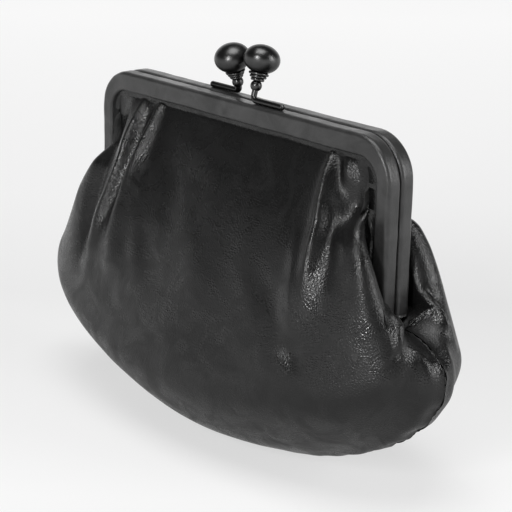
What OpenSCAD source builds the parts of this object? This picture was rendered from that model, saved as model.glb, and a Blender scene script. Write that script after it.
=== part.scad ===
// Kiss lock frame purse, about 197 mm wide, closed and standing on its base.
// X is the width, Y the depth with the front at minus Y, and Z is up from the floor.
// Both frame halves turn on one hinge line along X, and each carries the top of its leather panel.

/* [Frame] */
// Width of the closed frame over its two arms
frame_w = 150; // [130:1:170]
// Height of the top of the frame above the floor
frame_h = 120; // [112:1:130]
// Radius of the frame's outer corners
corner_r = 15; // [11:0.5:20]
// Height of the frame's top rail as seen from the front
top_rail = 7.2; // [6:0.1:9]
// Width of each frame arm as seen from the front
arm_rail = 6; // [5.4:0.1:7]
// Depth of one frame half, its leather cover included
half_depth = 5.9; // [5.4:0.1:6.8]
// Gap between the two closed halves
half_gap = 0.3; // [0.3:0.1:0.8]
// Distance from the hinge line up to the lower end of each arm
arm_clear = 3.6; // [3.5:0.1:5]
// Thickness of the steel channel
steel_t = 0.5; // [0.4:0.05:0.7]
// Thickness of the leather that wraps the frame
wrap_t = 0.6; // [0.4:0.05:0.8]
// Radius of the rounded edges of the wrapped frame
edge_r = 1; // [0.6:0.1:1.2]
// Diameter of the paper cord that wedges the leather into the channel
cord_d = 1.5; // [1.1:0.1:1.7]

/* [Hinge] */
// Height of the hinge line above the floor
hinge_h = 57; // [52:1:62]
// Diameter of the hinge rivets
rivet_d = 2; // [1.6:0.1:2.4]
// Radial clearance between a rivet and the holes in the lugs
rivet_play = 0.05; // [0.02:0.01:0.1]
// Diameter of the rivet heads
rivet_head_d = 4; // [3.4:0.1:4.6]
// Thickness of the rivet heads
rivet_head_t = 0.7; // [0.5:0.1:0.9]
// Radius of the round end of the hinge lugs
lug_r = 2.9; // [2.5:0.1:3.2]
// Gap between neighbouring faces in the hinge stack
lug_gap = 0.1; // [0.05:0.01:0.15]

/* [Clasp] */
// Diameter of the clasp balls across their widest part
ball_d = 12.6; // [10:0.1:13.5]
// Height of the clasp balls along their stems
ball_h = 10; // [8:0.1:12]
// Distance of each ball's stem from the middle of the frame
clasp_x = 7; // [7:0.1:9]
// Height of the front ball's centre above the frame
front_ball_h = 14.6; // [14:0.1:17]
// Height of the rear ball's centre above the frame
rear_ball_h = 13.1; // [13:0.1:17]
// Distance that each ball's centre crosses over the other half
ball_cross = 0.6; // [0:0.1:1.5]
// Diameter of the bent rod that makes the foot and the stem
rod_d = 2.1; // [1.6:0.1:2.4]
// Radius of the bend between the foot and the stem
bend_r = 1.8; // [1.4:0.1:2.4]
// Length of the foot along the frame
foot_len = 15; // [10:0.5:20]
// Diameter of the bead on the stem
bead_d = 4; // [3.2:0.1:4.6]
// Diameter of the ringed collar under the ball
collar_d = 7; // [5.6:0.1:8]
// Height of the ringed collar
collar_h = 3; // [2:0.1:3.6]
// Number of rings in the collar
collar_rings = 3; // [2:1:4]

/* [Pouch] */
// Width of the pouch at its widest
pouch_w = 196.6; // [180:1:210]
// Height of the widest place of the side seam above the floor
seam_wide_h = 46; // [40:1:50]
// Squareness of the seam outline, where 2 is an ellipse
seam_square = 1.9; // [1.7:0.05:2.4]
// Half depth of the pouch at its middle
belly_d = 37; // [30:0.5:42]
// Height of the deepest place at the middle above the floor
belly_h = 26; // [22:0.5:32]
// Half depth of the pouch beside the arms
side_belly_d = 17.5; // [15:0.5:21]
// Height of the deepest place beside the arms above the floor
side_belly_h = 51; // [46:0.5:54]
// Distance that the belly stays inside the side seam
side_inset = 8; // [5:0.5:12]
// Distance that the leather passes outside the frame's arm at the hinge
ear_out = 9; // [4:0.5:12]
// Distance that the leather stands before the hinge line at its end
ear_d = 10; // [9:0.5:14]
// Thickness of the pouch leather
leather_t = 1.2; // [0.8:0.1:1.3]
// Thickness of the lining
lining_t = 0.5; // [0.3:0.1:0.6]
// Depth by which the round base is pressed flat where it stands
base_press = 2; // [1.5:0.1:3]
// Diameter of the seam thread
thread_d = 0.7; // [0.4:0.1:0.9]

/* [Fold] */
// Angle from the frame round the hinge line where the upper leather slips into the pouch
fold_deg = 108; // [100:1:115]
// Angle that the upper leather reaches on inside the pouch
lap_deg = 8; // [4:1:12]
// Gap between the upper leather and the pouch around it
lap_gap = 1; // [0.8:0.1:1.4]
// Depth by which the upper leather is pressed in above the fold
fold_tuck = 1.4; // [0:0.1:1.6]
// Height of the pleats below the frame
pleat_h = 3.2; // [1:0.1:3.6]

/* [Hidden] */

// Finish colours
black_leather = [0.07, 0.07, 0.075];
wrap_leather = [0.1, 0.1, 0.105];
black_cloth = [0.12, 0.12, 0.13];
paper = [0.72, 0.62, 0.46];
steel = [0.55, 0.56, 0.58];
gunmetal = [0.2, 0.2, 0.21];

// Frame section, measured as depth from the plane where the halves meet
steel_fit = 0.03;
half_w = frame_w / 2;
y_near = half_gap / 2;
y_far = y_near + half_depth;
steel_inset = wrap_t + steel_fit;
steel_near = y_near + steel_inset;
steel_far = y_far - steel_inset;
slot_near = steel_near + steel_t;
slot_far = steel_far - steel_t;

// Frame window and arms
win_x = half_w - arm_rail;
win_z = frame_h - top_rail;
win_r = corner_r - top_rail;
arm_z = hinge_h + arm_clear;
corner_steps = 8;

// Distance by which cuts run past what they cut, and the shortest step in a section
over = 1;
least_step = 0.1;

// Hinge stack along X, a little outside the middle of the arm
lug_shift = 0.6;
lug_rise = 3;
lug_side_gap = 0.3;
lug_x = half_w - arm_rail / 2 + lug_shift;
shank_half = lug_gap / 2 + steel_t + lug_gap;

// Layers of the pouch, measured inward from the outside of the leather
layer_gap = 0.3;
lining_out = leather_t + layer_gap;
lining_in = lining_out + lining_t;
lap = lining_in + lap_gap;

// Edge of the leather inside the channel, ending above the lugs
leather_fit = 0.05;
cord_fit = 0.2;
tab_gap = 0.9;
rim_gap = 1.2;
tab_len = 3.4;
rim_y = slot_far - leather_fit;
tab_end_z = arm_z + lug_rise + tab_gap;
rim_x = win_x - rim_gap;
rim_z = win_z - rim_gap;
rim_r = win_r - rim_gap;

// Fits on the clasp's stem
rod_fit = 0.02;
rod_hole = rod_d / 2 + rod_fit;
seat_cut = 0.5;
socket_h = 3;
bead_cut = 54;

// Pouch outline
seam_x = pouch_w / 2;
ear_x = half_w + ear_out;
seam_below = 3;
ear_above = 7;
seam_top_z = hinge_h - seam_below;
ear_belly_z = hinge_h + ear_above;

// Shares of the way from the middle to the hinge: end of the top rail, start of the arm, widest place
top_s = 0.5;
arm_s = 0.64;
ear_s = 0.8;

// Powers that shape the panels: spread of the seam and the belly, and roundness under the belly
seam_spread = 0.9;
belly_spread = 1.2;
under_round = 1.19;

// Powers by which a panel leaves the frame along X, Y and Z: at the middle, and their change beside the arms
leave_x = [1.8, 1.6];
leave_y = [1.8, -0.8];
leave_z = [1.3, 0.3];
side_s = 0.4;

// Strips at the panel's edges where its thickness turns square to the frame and to the seam
edge_v = 0.03;
turn_v = 0.3;

// Places where the lap begins to shorten, how fast and by how much, and the angle over which the flare ends
lap_s = 0.6;
lap_fade_s = 0.2;
lap_cut = 0.8;
flare_deg = 36;
tuck_deg = 28;

// Ridges of the pleats as shares of the way to the hinge, left ones negative, as seen on the front,
// and the half width of a ridge
ridges = [-0.49, -0.41, -0.33, 0.387, 0.465];
ridge_half = 0.04;

// Rows over which the pleats rise and die away
pleat_rise_v = 0.2;
pleat_full_v = 0.45;
pleat_end_v = 0.8;

// Columns of each panel: every ridge and valley has one
middle_places = [
    -0.53, -0.49, -0.45, -0.41, -0.37, -0.33, -0.29, -0.25, -0.2, -0.15, -0.1, -0.05,
    0, 0.05, 0.1, 0.15, 0.2, 0.25, 0.3, 0.347, 0.387, 0.426, 0.465, 0.505
];
side_step = 1 / 22;
side_columns = 10;

// Grid of each panel and of the thread
upper_rows = 8;
pouch_rows = 9;
thread_columns = 20;

// Fits at the seam
seam_half_gap = thread_d / 2;
lining_half_gap = 0.2;

// A round stretch of an outline
function arc(cx, cz, r, from, to) = [
    for (i = [0:corner_steps])
        let (a = from + (to - from) * i / corner_steps)
        [cx + r * cos(a), cz + r * sin(a)]
];

// An upside down U with rounded upper corners, down to a given height
function arch(x, z, r, low) = concat(
    [[-x, low]],
    arc(-(x - r), z - r, r, 180, 90),
    arc(x - r, z - r, r, 90, 0),
    [[x, low]]
);
function outer_arch(inset, low) = arch(half_w - inset, frame_h - inset, corner_r - inset, low);
function window_arch(grow, low) = arch(win_x + grow, win_z + grow, win_r + grow, low);

// A flat outline stood up, from one depth to another
module stand(near, far) {
    translate([0, far, 0])
        rotate([90, 0, 0])
            linear_extrude(height = far - near)
                children();
}

// The front half is the rear one mirrored
module at_front() {
    mirror([0, 1, 0])
        children();
}

// Mirrored left to right where the side is negative
module to_side(side) {
    mirror([side < 0 ? 1 : 0, 0, 0])
        children();
}

// A closed solid through rings of equal point count
module loft(rings) {
    n = len(rings[0]);
    m = len(rings);
    sides = [
        for (i = [0:m - 2], j = [0:n - 1])
            let (a = i * n + j, b = i * n + (j + 1) % n)
            each [[a, b, b + n], [a, b + n, a + n]]
    ];
    first_cap = [for (j = [0:n - 1]) n - 1 - j];
    last_cap = [for (j = [0:n - 1]) (m - 1) * n + j];
    faces = concat(sides, [first_cap, last_cap]);
    polyhedron(points = [for (r = rings) each r], faces = faces, convexity = 8);
}

// A closed sheet between two grids of points, column by column
module sheet(outer, inner) {
    k = len(outer[0]);
    n = 2 * k;
    m = len(outer);
    points = [for (i = [0:m - 1]) each concat(outer[i], [for (j = [k - 1:-1:0]) inner[i][j]])];
    // Both surfaces are split along the same diagonals, so that layers keep their distance
    sides = [
        for (i = [0:m - 2], j = [0:n - 1])
            let (a = i * n + j, b = i * n + (j + 1) % n)
            each j < k ? [[a, b, b + n], [a, b + n, a + n]] : [[a, b, a + n], [b, b + n, a + n]]
    ];
    last = (m - 1) * n;
    caps = [
        for (j = [0:k - 2])
            let (c = n - 1 - j, d = n - 2 - j)
            each [
                [j, c, d], [j, d, j + 1],
                [last + j, last + d, last + c], [last + j, last + j + 1, last + d]
            ]
    ];
    polyhedron(points = points, faces = concat(sides, caps), convexity = 8);
}

// Frame

// Steel channel with its mouth towards the window
module channel() {
    difference() {
        stand(steel_near, steel_far)
            difference() {
                polygon(outer_arch(steel_inset, arm_z));
                polygon(window_arch(steel_inset, arm_z - over));
            }
        stand(slot_near, slot_far)
            polygon(outer_arch(steel_inset + steel_t, arm_z - over));
    }
}

// Flat lug that carries the rivet hole, on the right arm, from one X to another
module lug(x0, x1) {
    web_x = half_w - steel_inset - steel_t / 2;
    neck_near = slot_near + lug_side_gap;
    neck_far = slot_far - lug_side_gap;
    difference() {
        union() {
            translate([x0, 0, hinge_h])
                rotate([0, 90, 0])
                    cylinder(h = x1 - x0, r = lug_r, $fn = 48);
            translate([x0, half_gap, hinge_h])
                cube([x1 - x0, neck_far - half_gap, arm_clear]);
            translate([x0, neck_near, hinge_h])
                cube([x1 - x0, neck_far - neck_near, arm_clear + lug_rise]);
            translate([x0, neck_near, arm_z])
                cube([web_x - x0, neck_far - neck_near, lug_rise]);
        }
        translate([x0 - over, 0, hinge_h])
            rotate([0, 90, 0])
                cylinder(h = x1 - x0 + 2 * over, r = rivet_d / 2 + rivet_play, $fn = 48);
    }
}

module channel_with_lugs(x0, x1) {
    channel();
    lug(x0, x1);
    mirror([1, 0, 0])
        lug(x0, x1);
}

module front_frame_channel() {
    color(steel)
        at_front()
            channel_with_lugs(lug_x + lug_gap / 2, lug_x + lug_gap / 2 + steel_t);
}

module rear_frame_channel() {
    color(steel)
        channel_with_lugs(lug_x - lug_gap / 2 - steel_t, lug_x - lug_gap / 2);
}

// Section of the leather wrap, near half: which edge it is measured from, inset from that edge, and depth.
// The outside and the inside of the wrap have the same number of points
out_r = max(wrap_t + least_step, min(edge_r, half_depth / 3));
in_r = steel_inset + steel_t;
wrap_outside = concat(
    [for (a = [0:30:90]) [1, in_r * (1 - cos(a)), in_r * (1 - sin(a))]],
    [for (a = [90:-30:0]) [0, out_r * (1 - cos(a)), out_r * (1 - sin(a))]]
);
wrap_inside = [
    [1, wrap_t, in_r], [1, wrap_t, (in_r + wrap_t) / 2], [1, wrap_t, wrap_t], [1, in_r, wrap_t],
    [0, out_r, wrap_t], [0, wrap_t, wrap_t], [0, wrap_t, (out_r + wrap_t) / 2], [0, wrap_t, out_r]
];

// Both halves of a section, from the near side to the far side
function both_sides(section) = concat(
    [for (p = section) [p[0], p[1], y_near + p[2]]],
    [for (k = [len(section) - 1:-1:0]) [section[k][0], section[k][1], y_far - section[k][2]]]
);

// A section carried along the frame, arm to arm
function along_frame(section) =
    let (outer = outer_arch(0, arm_z), inner = window_arch(0, arm_z))
    [
        for (i = [0:len(outer) - 1])
            let (across = inner[i] - outer[i], along = across / norm(across))
            [
                for (p = section)
                    let (q = p[0] == 0 ? outer[i] + along * p[1] : inner[i] - along * p[1])
                    [q[0], p[2], q[1]]
            ]
    ];

// Leather wrap of one half, open at the mouth of the channel
module wrap() {
    sheet(along_frame(both_sides(wrap_outside)), along_frame(both_sides(wrap_inside)));
}

module front_frame_wrap() {
    color(wrap_leather)
        at_front()
            wrap();
}

module rear_frame_wrap() {
    color(wrap_leather)
        wrap();
}

// Paper cord beside the lining in the channel
module paper_cord() {
    lining_y = rim_y - lining_in;
    cord_y = (slot_near + lining_y) / 2;
    inset = in_r + cord_fit + cord_d / 2;
    path = outer_arch(inset, tab_end_z);
    middle = outer_arch(inset + over, tab_end_z);
    loft([
        for (i = [0:len(path) - 1])
            let (out = (path[i] - middle[i]) / norm(path[i] - middle[i]))
            [
                for (a = [0:45:315])
                    let (q = path[i] + out * cord_d / 2 * cos(a))
                    [q[0], cord_y + cord_d / 2 * sin(a), q[1]]
            ]
    ]);
}

module front_paper_cord() {
    color(paper)
        at_front()
            paper_cord();
}

module rear_paper_cord() {
    color(paper)
        paper_cord();
}

// Hinge rivet on the right, with a head at each end
module hinge_rivet() {
    translate([lug_x, 0, hinge_h])
        rotate([0, 90, 0])
            for (flip = [0, 1])
                mirror([0, 0, flip]) {
                    cylinder(h = shank_half + rivet_head_t / 2, r = rivet_d / 2, $fn = 48);
                    translate([0, 0, shank_half])
                        cylinder(h = rivet_head_t, r = rivet_head_d / 2, $fn = 48);
                }
}

module right_hinge_rivet() {
    color(steel)
        hinge_rivet();
}

module left_hinge_rivet() {
    color(steel)
        mirror([1, 0, 0])
            hinge_rivet();
}

// Clasp

foot_y = (y_near + y_far) / 2;
foot_z = frame_h + rod_d / 2;

// The stem of a clasp leans from its foot towards the other half
function lean(ball_h_above) = atan((foot_y + ball_cross) / (frame_h + ball_h_above - foot_z));
function reach(ball_h_above) = norm([foot_y + ball_cross, frame_h + ball_h_above - foot_z]);

// Frame of a stem: its origin is the bend at the foot and its Z runs to the ball
module on_stem(side, ball_h_above) {
    translate([side * clasp_x, foot_y, foot_z])
        rotate([lean(ball_h_above), 0, 0])
            children();
}

function collar_base(ball_h_above) = reach(ball_h_above) - ball_h / 2 + seat_cut - collar_h;
function bead_base(ball_h_above) = collar_base(ball_h_above) - bead_d * sin(bead_cut);

// Bent rod with its foot along the frame
module clasp_stem(side, ball_h_above) {
    stem_top = collar_base(ball_h_above) + collar_h + socket_h;
    bend = [for (a = [0:15:90]) [bend_r * (1 - sin(a)), bend_r * (1 - cos(a)), a]];
    path = concat([[foot_len, 0, 0]], bend, [[0, stem_top, 90]]);
    on_stem(side, ball_h_above)
        to_side(side)
            loft([
                for (q = path)
                    [
                        for (t = [0:22.5:337.5])
                            let (across = rod_d / 2 * cos(t))
                            [q[0] + across * sin(q[2]), -rod_d / 2 * sin(t), q[1] + across * cos(q[2])]
                    ]
            ]);
}

// Bead with flat ends, threaded on the stem
module clasp_bead(side, ball_h_above) {
    r = bead_d / 2;
    on_stem(side, ball_h_above)
        translate([0, 0, bead_base(ball_h_above)])
            rotate_extrude($fn = 48)
                polygon(concat(
                    [[rod_hole, 0]],
                    [
                        for (i = [-6:6])
                            let (a = bead_cut * i / 6)
                            [r * cos(a), r * (sin(bead_cut) + sin(a))]
                    ],
                    [[rod_hole, 2 * r * sin(bead_cut)]]
                ));
}

// Collar of stacked rings on the stem
module clasp_collar(side, ball_h_above) {
    ring = collar_h / collar_rings;
    on_stem(side, ball_h_above)
        translate([0, 0, collar_base(ball_h_above)])
            rotate_extrude($fn = 64)
                polygon(concat(
                    [[rod_hole, 0]],
                    [
                        for (k = [0:collar_rings - 1], a = [-75:30:75])
                            [collar_d / 2 - ring / 2 + ring / 2 * cos(a), ring * (k + 0.5 + sin(a) / 2)]
                    ],
                    [[rod_hole, collar_h]]
                ));
}

// Flattened ball with a flat seat and a socket for the stem
module clasp_ball(side, ball_h_above) {
    seat_z = -ball_h / 2 + seat_cut;
    seat_a = asin(seat_z / (ball_h / 2));
    on_stem(side, ball_h_above)
        translate([0, 0, reach(ball_h_above)])
            rotate_extrude($fn = 96)
                polygon(concat(
                    [[0, seat_z + socket_h], [rod_hole, seat_z + socket_h], [rod_hole, seat_z]],
                    [
                        for (i = [0:20])
                            let (a = seat_a + (90 - seat_a) * i / 20)
                            [ball_d / 2 * cos(a), ball_h / 2 * sin(a)]
                    ]
                ));
}

module front_clasp_stem() {
    color(gunmetal)
        at_front()
            clasp_stem(1, front_ball_h);
}

module rear_clasp_stem() {
    color(gunmetal)
        clasp_stem(-1, rear_ball_h);
}

module front_clasp_bead() {
    color(gunmetal)
        at_front()
            clasp_bead(1, front_ball_h);
}

module rear_clasp_bead() {
    color(gunmetal)
        clasp_bead(-1, rear_ball_h);
}

module front_clasp_collar() {
    color(gunmetal)
        at_front()
            clasp_collar(1, front_ball_h);
}

module rear_clasp_collar() {
    color(gunmetal)
        clasp_collar(-1, rear_ball_h);
}

module front_clasp_ball() {
    color(gunmetal)
        at_front()
            clasp_ball(1, front_ball_h);
}

module rear_clasp_ball() {
    color(gunmetal)
        clasp_ball(-1, rear_ball_h);
}

// Pouch: each panel is a surface from the frame's window (v = 0) over the belly (v = 1) to the seam (v = 2),
// at a place s from the middle (s = 0) to the hinge (s = 1)

function ease(t) = let (c = max(0, min(1, t))) c * c * (3 - 2 * c);

// Edge of the leather along the window, moved outward into the frame by grow
function rim(s, grow) =
    let (flat = rim_x - rim_r, r = rim_r + grow, turn = 90 * (s - top_s) / (arm_s - top_s))
    s <= top_s ? [flat * s / top_s, rim_z + grow]
    : s <= arm_s ? [flat + r * sin(turn), rim_z - rim_r + r * cos(turn)]
    : [rim_x + grow, rim_z - rim_r + (tab_end_z - rim_z + rim_r) * (s - arm_s) / (1 - arm_s)];

// Turn along the outline up to its widest place, then along the ear back to the hinge
function turn_in(s) = 90 * min(1, s / ear_s);
function turn_out(s) = 90 * max(0, (s - ear_s) / (1 - ear_s));

// Side seam and base, where the two panels meet
function seam(s) =
    let (a = turn_in(s), b = turn_out(s), x = pow(sin(a), seam_spread))
    let (rise = 1 - pow(1 - pow(x, seam_square), 1 / seam_square))
    s <= ear_s ? [seam_x * x, seam_half_gap, -base_press + (seam_wide_h + base_press) * rise]
    : [ear_x + (seam_x - ear_x) * cos(b), seam_half_gap, seam_wide_h + (seam_top_z - seam_wide_h) * sin(b)];

// Deepest line of the panel
function belly(s) =
    let (a = turn_in(s), b = turn_out(s))
    let (x = seam_x - side_inset)
    s <= ear_s
    ? [x * pow(sin(a), belly_spread), side_belly_d + (belly_d - side_belly_d) * cos(a),
        belly_h + (side_belly_h - belly_h) * (1 - cos(a))]
    : [ear_x + (x - ear_x) * cos(b), ear_d + (side_belly_d - ear_d) * (1 - sin(b)),
        side_belly_h + (ear_belly_z - side_belly_h) * sin(b)];

// Point of the panel's outer surface
function panel_point(s, v) =
    let (t = rim(s, 0), top = [t[0], rim_y, t[1]], wide = belly(s), low = seam(s))
    let (side = ease((s - side_s) / (ear_s - side_s)))
    let (a = 90 * min(1, v), b = 90 * max(0, v - 1))
    let (gx = pow(sin(a), leave_x[0] + leave_x[1] * side), gy = pow(sin(a), leave_y[0] + leave_y[1] * side))
    let (gz = 1 - pow(cos(a), leave_z[0] + leave_z[1] * side))
    let (back = pow(max(0, cos(b)), under_round), down = 1 - pow(sin(b), under_round))
    v <= 1
    ? top + [(wide[0] - top[0]) * gx, (wide[1] - top[1]) * gy, (wide[2] - top[2]) * gz]
    : low + [(wide[0] - low[0]) * back, (wide[1] - low[1]) * back, (wide[2] - low[2]) * down];

// Direction out of the panel, square to the frame at the window and to the seam plane at the seam
function unit(d) = d / norm(d);
function panel_out(s, v) =
    let (e = 0.01, s0 = max(0.001, s - e), s1 = min(1, s + e), w = max(edge_v, min(2 - edge_v, v)))
    let (across = panel_point(s1, w) - panel_point(s0, w))
    let (out = unit(cross(across, panel_point(s, w + e) - panel_point(s, w - e))))
    let (near = ease(v / turn_v), far = ease((2 - v) / turn_v))
    unit([out[0] * near, (out[1] * near + 1 - near) * far, out[2] * near]);

// Angle round the hinge line, from straight up
function hinge_angle(p) = atan2(p[1], p[2] - hinge_h);

// Place on a column where it reaches an angle round the hinge line
function at_angle(s, deg, lo = 0, hi = 2, n = 14) =
    let (mid = (lo + hi) / 2)
    n == 0 ? mid : hinge_angle(panel_point(s, mid)) < deg ? at_angle(s, deg, mid, hi, n - 1)
    : at_angle(s, deg, lo, mid, n - 1);

// How far the pouch stands out round the upper leather
function flare(p) = (lap - fold_tuck) * (1 - ease((hinge_angle(p) - fold_deg - lap_deg) / flare_deg));

// The lap is shorter towards the hinge, where the ear narrows
function lap_at(s) = lap_deg * (1 - lap_cut * ease((s - lap_s) / lap_fade_s));

function rows(from, to, n) = [for (i = [0:n]) from + (to - from) * i / n];
side_from = 1 - side_step * side_columns;
panel_places = concat(rows(-1, -side_from, side_columns), middle_places, rows(side_from, 1, side_columns));

// The upper leather is pressed in a little just above the fold
function tuck(p) = fold_tuck * ease((hinge_angle(p) - fold_deg + tuck_deg) / tuck_deg);

// Height of the pleats at a place
function pleats(c, v) =
    let (along = ease(v / pleat_rise_v) * (1 - ease((v - pleat_full_v) / (pleat_end_v - pleat_full_v))))
    pleat_h * along * max([for (r = ridges) ease(1 - abs(c - r) / ridge_half)]);

// One surface of the upper leather or lining, at a depth below the outside of the leather.
// The lining hangs straight under the pleats
function upper_grid(depth, pleated) = [
    for (c = panel_places)
        let (s = abs(c), end = at_angle(s, fold_deg + lap_at(s)), tab = rim(s, rim_gap + tab_len))
        concat(
            [[sign(c) * tab[0], rim_y - depth, tab[1]]],
            [
                for (v = rows(0, end, upper_rows))
                    let (p = panel_point(s, v), high = pleated ? pleats(c, v) : 0)
                    let (q = p + panel_out(s, v) * (high - depth - tuck(p)))
                    [sign(c) * q[0], q[1], q[2]]
            ]
        )
];

// One surface of the pouch below the fold, pressed flat where it stands
function pouch_grid(depth, plane_gap) = [
    for (c = panel_places)
        let (s = abs(c), start = at_angle(s, fold_deg))
        [
            for (v = rows(start, 2, pouch_rows))
                let (p = panel_point(s, v), q = p + panel_out(s, v) * (flare(p) - depth))
                [sign(c) * q[0], v == 2 ? plane_gap : max(plane_gap, q[1]), max(depth, q[2])]
        ]
];

module upper_layer(from, to, pleated) {
    sheet(upper_grid(from, pleated), upper_grid(to, pleated));
}

module pouch_layer(from, to, plane_gap) {
    sheet(pouch_grid(from, plane_gap), pouch_grid(to, plane_gap));
}

module front_leather_upper() {
    color(black_leather)
        at_front()
            upper_layer(0, leather_t, true);
}

module rear_leather_upper() {
    color(black_leather)
        upper_layer(0, leather_t, true);
}

module front_lining_upper() {
    color(black_cloth)
        at_front()
            upper_layer(lining_out, lining_in, false);
}

module rear_lining_upper() {
    color(black_cloth)
        upper_layer(lining_out, lining_in, false);
}

module front_leather_pouch() {
    color(black_leather)
        at_front()
            pouch_layer(0, leather_t, seam_half_gap);
}

module rear_leather_pouch() {
    color(black_leather)
        pouch_layer(0, leather_t, seam_half_gap);
}

module front_lining_pouch() {
    color(black_cloth)
        at_front()
            pouch_layer(lining_out, lining_in, lining_half_gap);
}

module rear_lining_pouch() {
    color(black_cloth)
        pouch_layer(lining_out, lining_in, lining_half_gap);
}

// Thread between the two leather edges all along the seam
module seam_thread() {
    path = [
        for (c = rows(-1, 1, 2 * thread_columns))
            let (s = abs(c), q = panel_point(s, 2) - panel_out(s, 2) * leather_t / 2)
            [sign(c) * q[0], 0, max(leather_t / 2, q[2])]
    ];
    last = len(path) - 1;
    color(black_cloth)
        loft([
            for (i = [0:last])
                let (along = unit(path[min(last, i + 1)] - path[max(0, i - 1)]))
                let (out = [along[2], 0, -along[0]])
                [for (a = [0:60:300]) path[i] + out * thread_d / 2 * sin(a) + [0, thread_d / 2 * cos(a), 0]]
        ]);
}

front_frame_channel();
rear_frame_channel();
front_frame_wrap();
rear_frame_wrap();
front_paper_cord();
rear_paper_cord();
left_hinge_rivet();
right_hinge_rivet();
front_clasp_stem();
rear_clasp_stem();
front_clasp_bead();
rear_clasp_bead();
front_clasp_collar();
rear_clasp_collar();
front_clasp_ball();
rear_clasp_ball();
front_leather_upper();
rear_leather_upper();
front_lining_upper();
rear_lining_upper();
front_leather_pouch();
rear_leather_pouch();
front_lining_pouch();
rear_lining_pouch();
seam_thread();
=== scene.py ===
# %% [markdown]
# # A kiss lock frame purse in black leather
# The purse is two leather panels gathered into a hinged metal frame that is wrapped in leather.
# Two dark balls on bent rods snap past each other to hold it shut.
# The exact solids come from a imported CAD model. This lesson dresses them: smooth leather with folds,
# a wrapped frame with rounded edges, blurred dark metal, a camera and plain studio light.

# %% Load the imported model
import math
import bpy
import numpy as np
from mathutils import Matrix, Vector


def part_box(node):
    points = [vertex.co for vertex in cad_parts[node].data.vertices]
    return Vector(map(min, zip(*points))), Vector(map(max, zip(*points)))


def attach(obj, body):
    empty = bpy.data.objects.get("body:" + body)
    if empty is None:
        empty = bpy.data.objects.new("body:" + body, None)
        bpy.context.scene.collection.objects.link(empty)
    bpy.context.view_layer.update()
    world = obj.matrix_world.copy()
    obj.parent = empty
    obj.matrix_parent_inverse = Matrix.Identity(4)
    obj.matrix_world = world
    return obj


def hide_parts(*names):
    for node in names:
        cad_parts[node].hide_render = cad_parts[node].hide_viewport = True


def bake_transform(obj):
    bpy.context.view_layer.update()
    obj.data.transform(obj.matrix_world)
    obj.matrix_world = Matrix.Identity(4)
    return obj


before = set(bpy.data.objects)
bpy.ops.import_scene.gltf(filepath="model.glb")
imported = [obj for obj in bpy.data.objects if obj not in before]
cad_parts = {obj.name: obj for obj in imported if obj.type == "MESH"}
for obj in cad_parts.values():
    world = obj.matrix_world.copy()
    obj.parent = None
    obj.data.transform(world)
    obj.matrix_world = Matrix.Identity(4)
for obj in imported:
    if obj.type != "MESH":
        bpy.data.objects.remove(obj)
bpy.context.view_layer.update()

# %% [markdown]
# ## Sizes
# Every length is written in millimetres, as on a pattern, and turned into metres in one place.
# The frame's outer sizes are read from the CAD model's pieces, so that the leather meets them. The sizes
# that lie inside, such as the slot for the leather, are written down.

# %% The purse's sizes in millimetres
MM = 0.001


def box_of(piece):
    """The lowest and the highest corner of a CAD piece in millimetres."""
    return [[round(value / MM, 2) for value in corner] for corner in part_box(piece)]


wrap_low, wrap_high = box_of("rear_frame_wrap")
HALF_WIDTH, FAR, FRAME_TOP = wrap_high
NEAR, ARM_END = wrap_low[1:]
CORNER, TOP_RAIL, ARM_RAIL = 15.0, 7.2, 6.0
SLOT_NEAR, WRAP = 1.28, 0.6
LEATHER, LINING_OUT, LINING_IN = 1.2, 1.5, 2.0

# %% [markdown]
# ## The camera
# The photograph was taken from the front right, a little above the purse, with a long lens.
# The place, aim and roll were worked out from the frame's straight edges, which are easy to measure.
# A camera looks along its own minus Z, so its matrix has the right, up and backward directions as columns.
# The Standard view shows a colour about as it is written, without a film curve.

# %% Camera
turn, tilt, roll = math.radians(48.41), math.radians(17.47), -0.02
CAMERA_PLACE = (430.6, -376.3, 243.4)
FOCAL_PIXELS, PHOTO_PIXELS, SENSOR = 1700.0, 512.0, 36.0
forward = Vector((-math.sin(turn) * math.cos(tilt), math.cos(turn) * math.cos(tilt), -math.sin(tilt)))
level = Vector((math.cos(turn), math.sin(turn), 0.0))
upward = level.cross(forward)
right = level * math.cos(roll) - upward * math.sin(roll)
above = level * math.sin(roll) + upward * math.cos(roll)
eye = bpy.data.cameras.new("camera")
eye.sensor_width = SENSOR
eye.lens = FOCAL_PIXELS / PHOTO_PIXELS * SENSOR
eye.clip_start, eye.clip_end = 0.02, 30.0
camera = bpy.data.objects.new("camera", eye)
columns = Matrix((right, above, -forward)).transposed()
camera.matrix_world = Matrix.Translation(Vector(CAMERA_PLACE) * MM) @ columns.to_4x4()
bpy.context.scene.collection.objects.link(camera)
bpy.context.scene.camera = camera
bpy.context.scene.view_settings.view_transform = "Standard"
print("lens", round(eye.lens, 1), "mm")

# %% [markdown]
# ## Node helpers
# A material is a small network of nodes. These helpers add a node, set its inputs and join sockets,
# so that each finish below can be read as a list of what feeds what.


# %% Helpers for nodes
def node(tree, kind, place=(0, 0), **inputs):
    made = tree.nodes.new(kind)
    made.location = place
    for name, value in inputs.items():
        made.inputs[name.replace("_", " ")].default_value = value
    return made


def join(tree, source, target):
    tree.links.new(source, target)


def ramp(tree, source, stops, place=(0, 0)):
    made = node(tree, "ShaderNodeValToRGB", place)
    join(tree, source, made.inputs["Fac"])
    while len(made.color_ramp.elements) < len(stops):
        made.color_ramp.elements.new(0.5)
    for element, (position, shade) in zip(made.color_ramp.elements, stops):
        element.position = position
        element.color = (shade, shade, shade, 1.0)
    return made.outputs["Color"]


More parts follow.
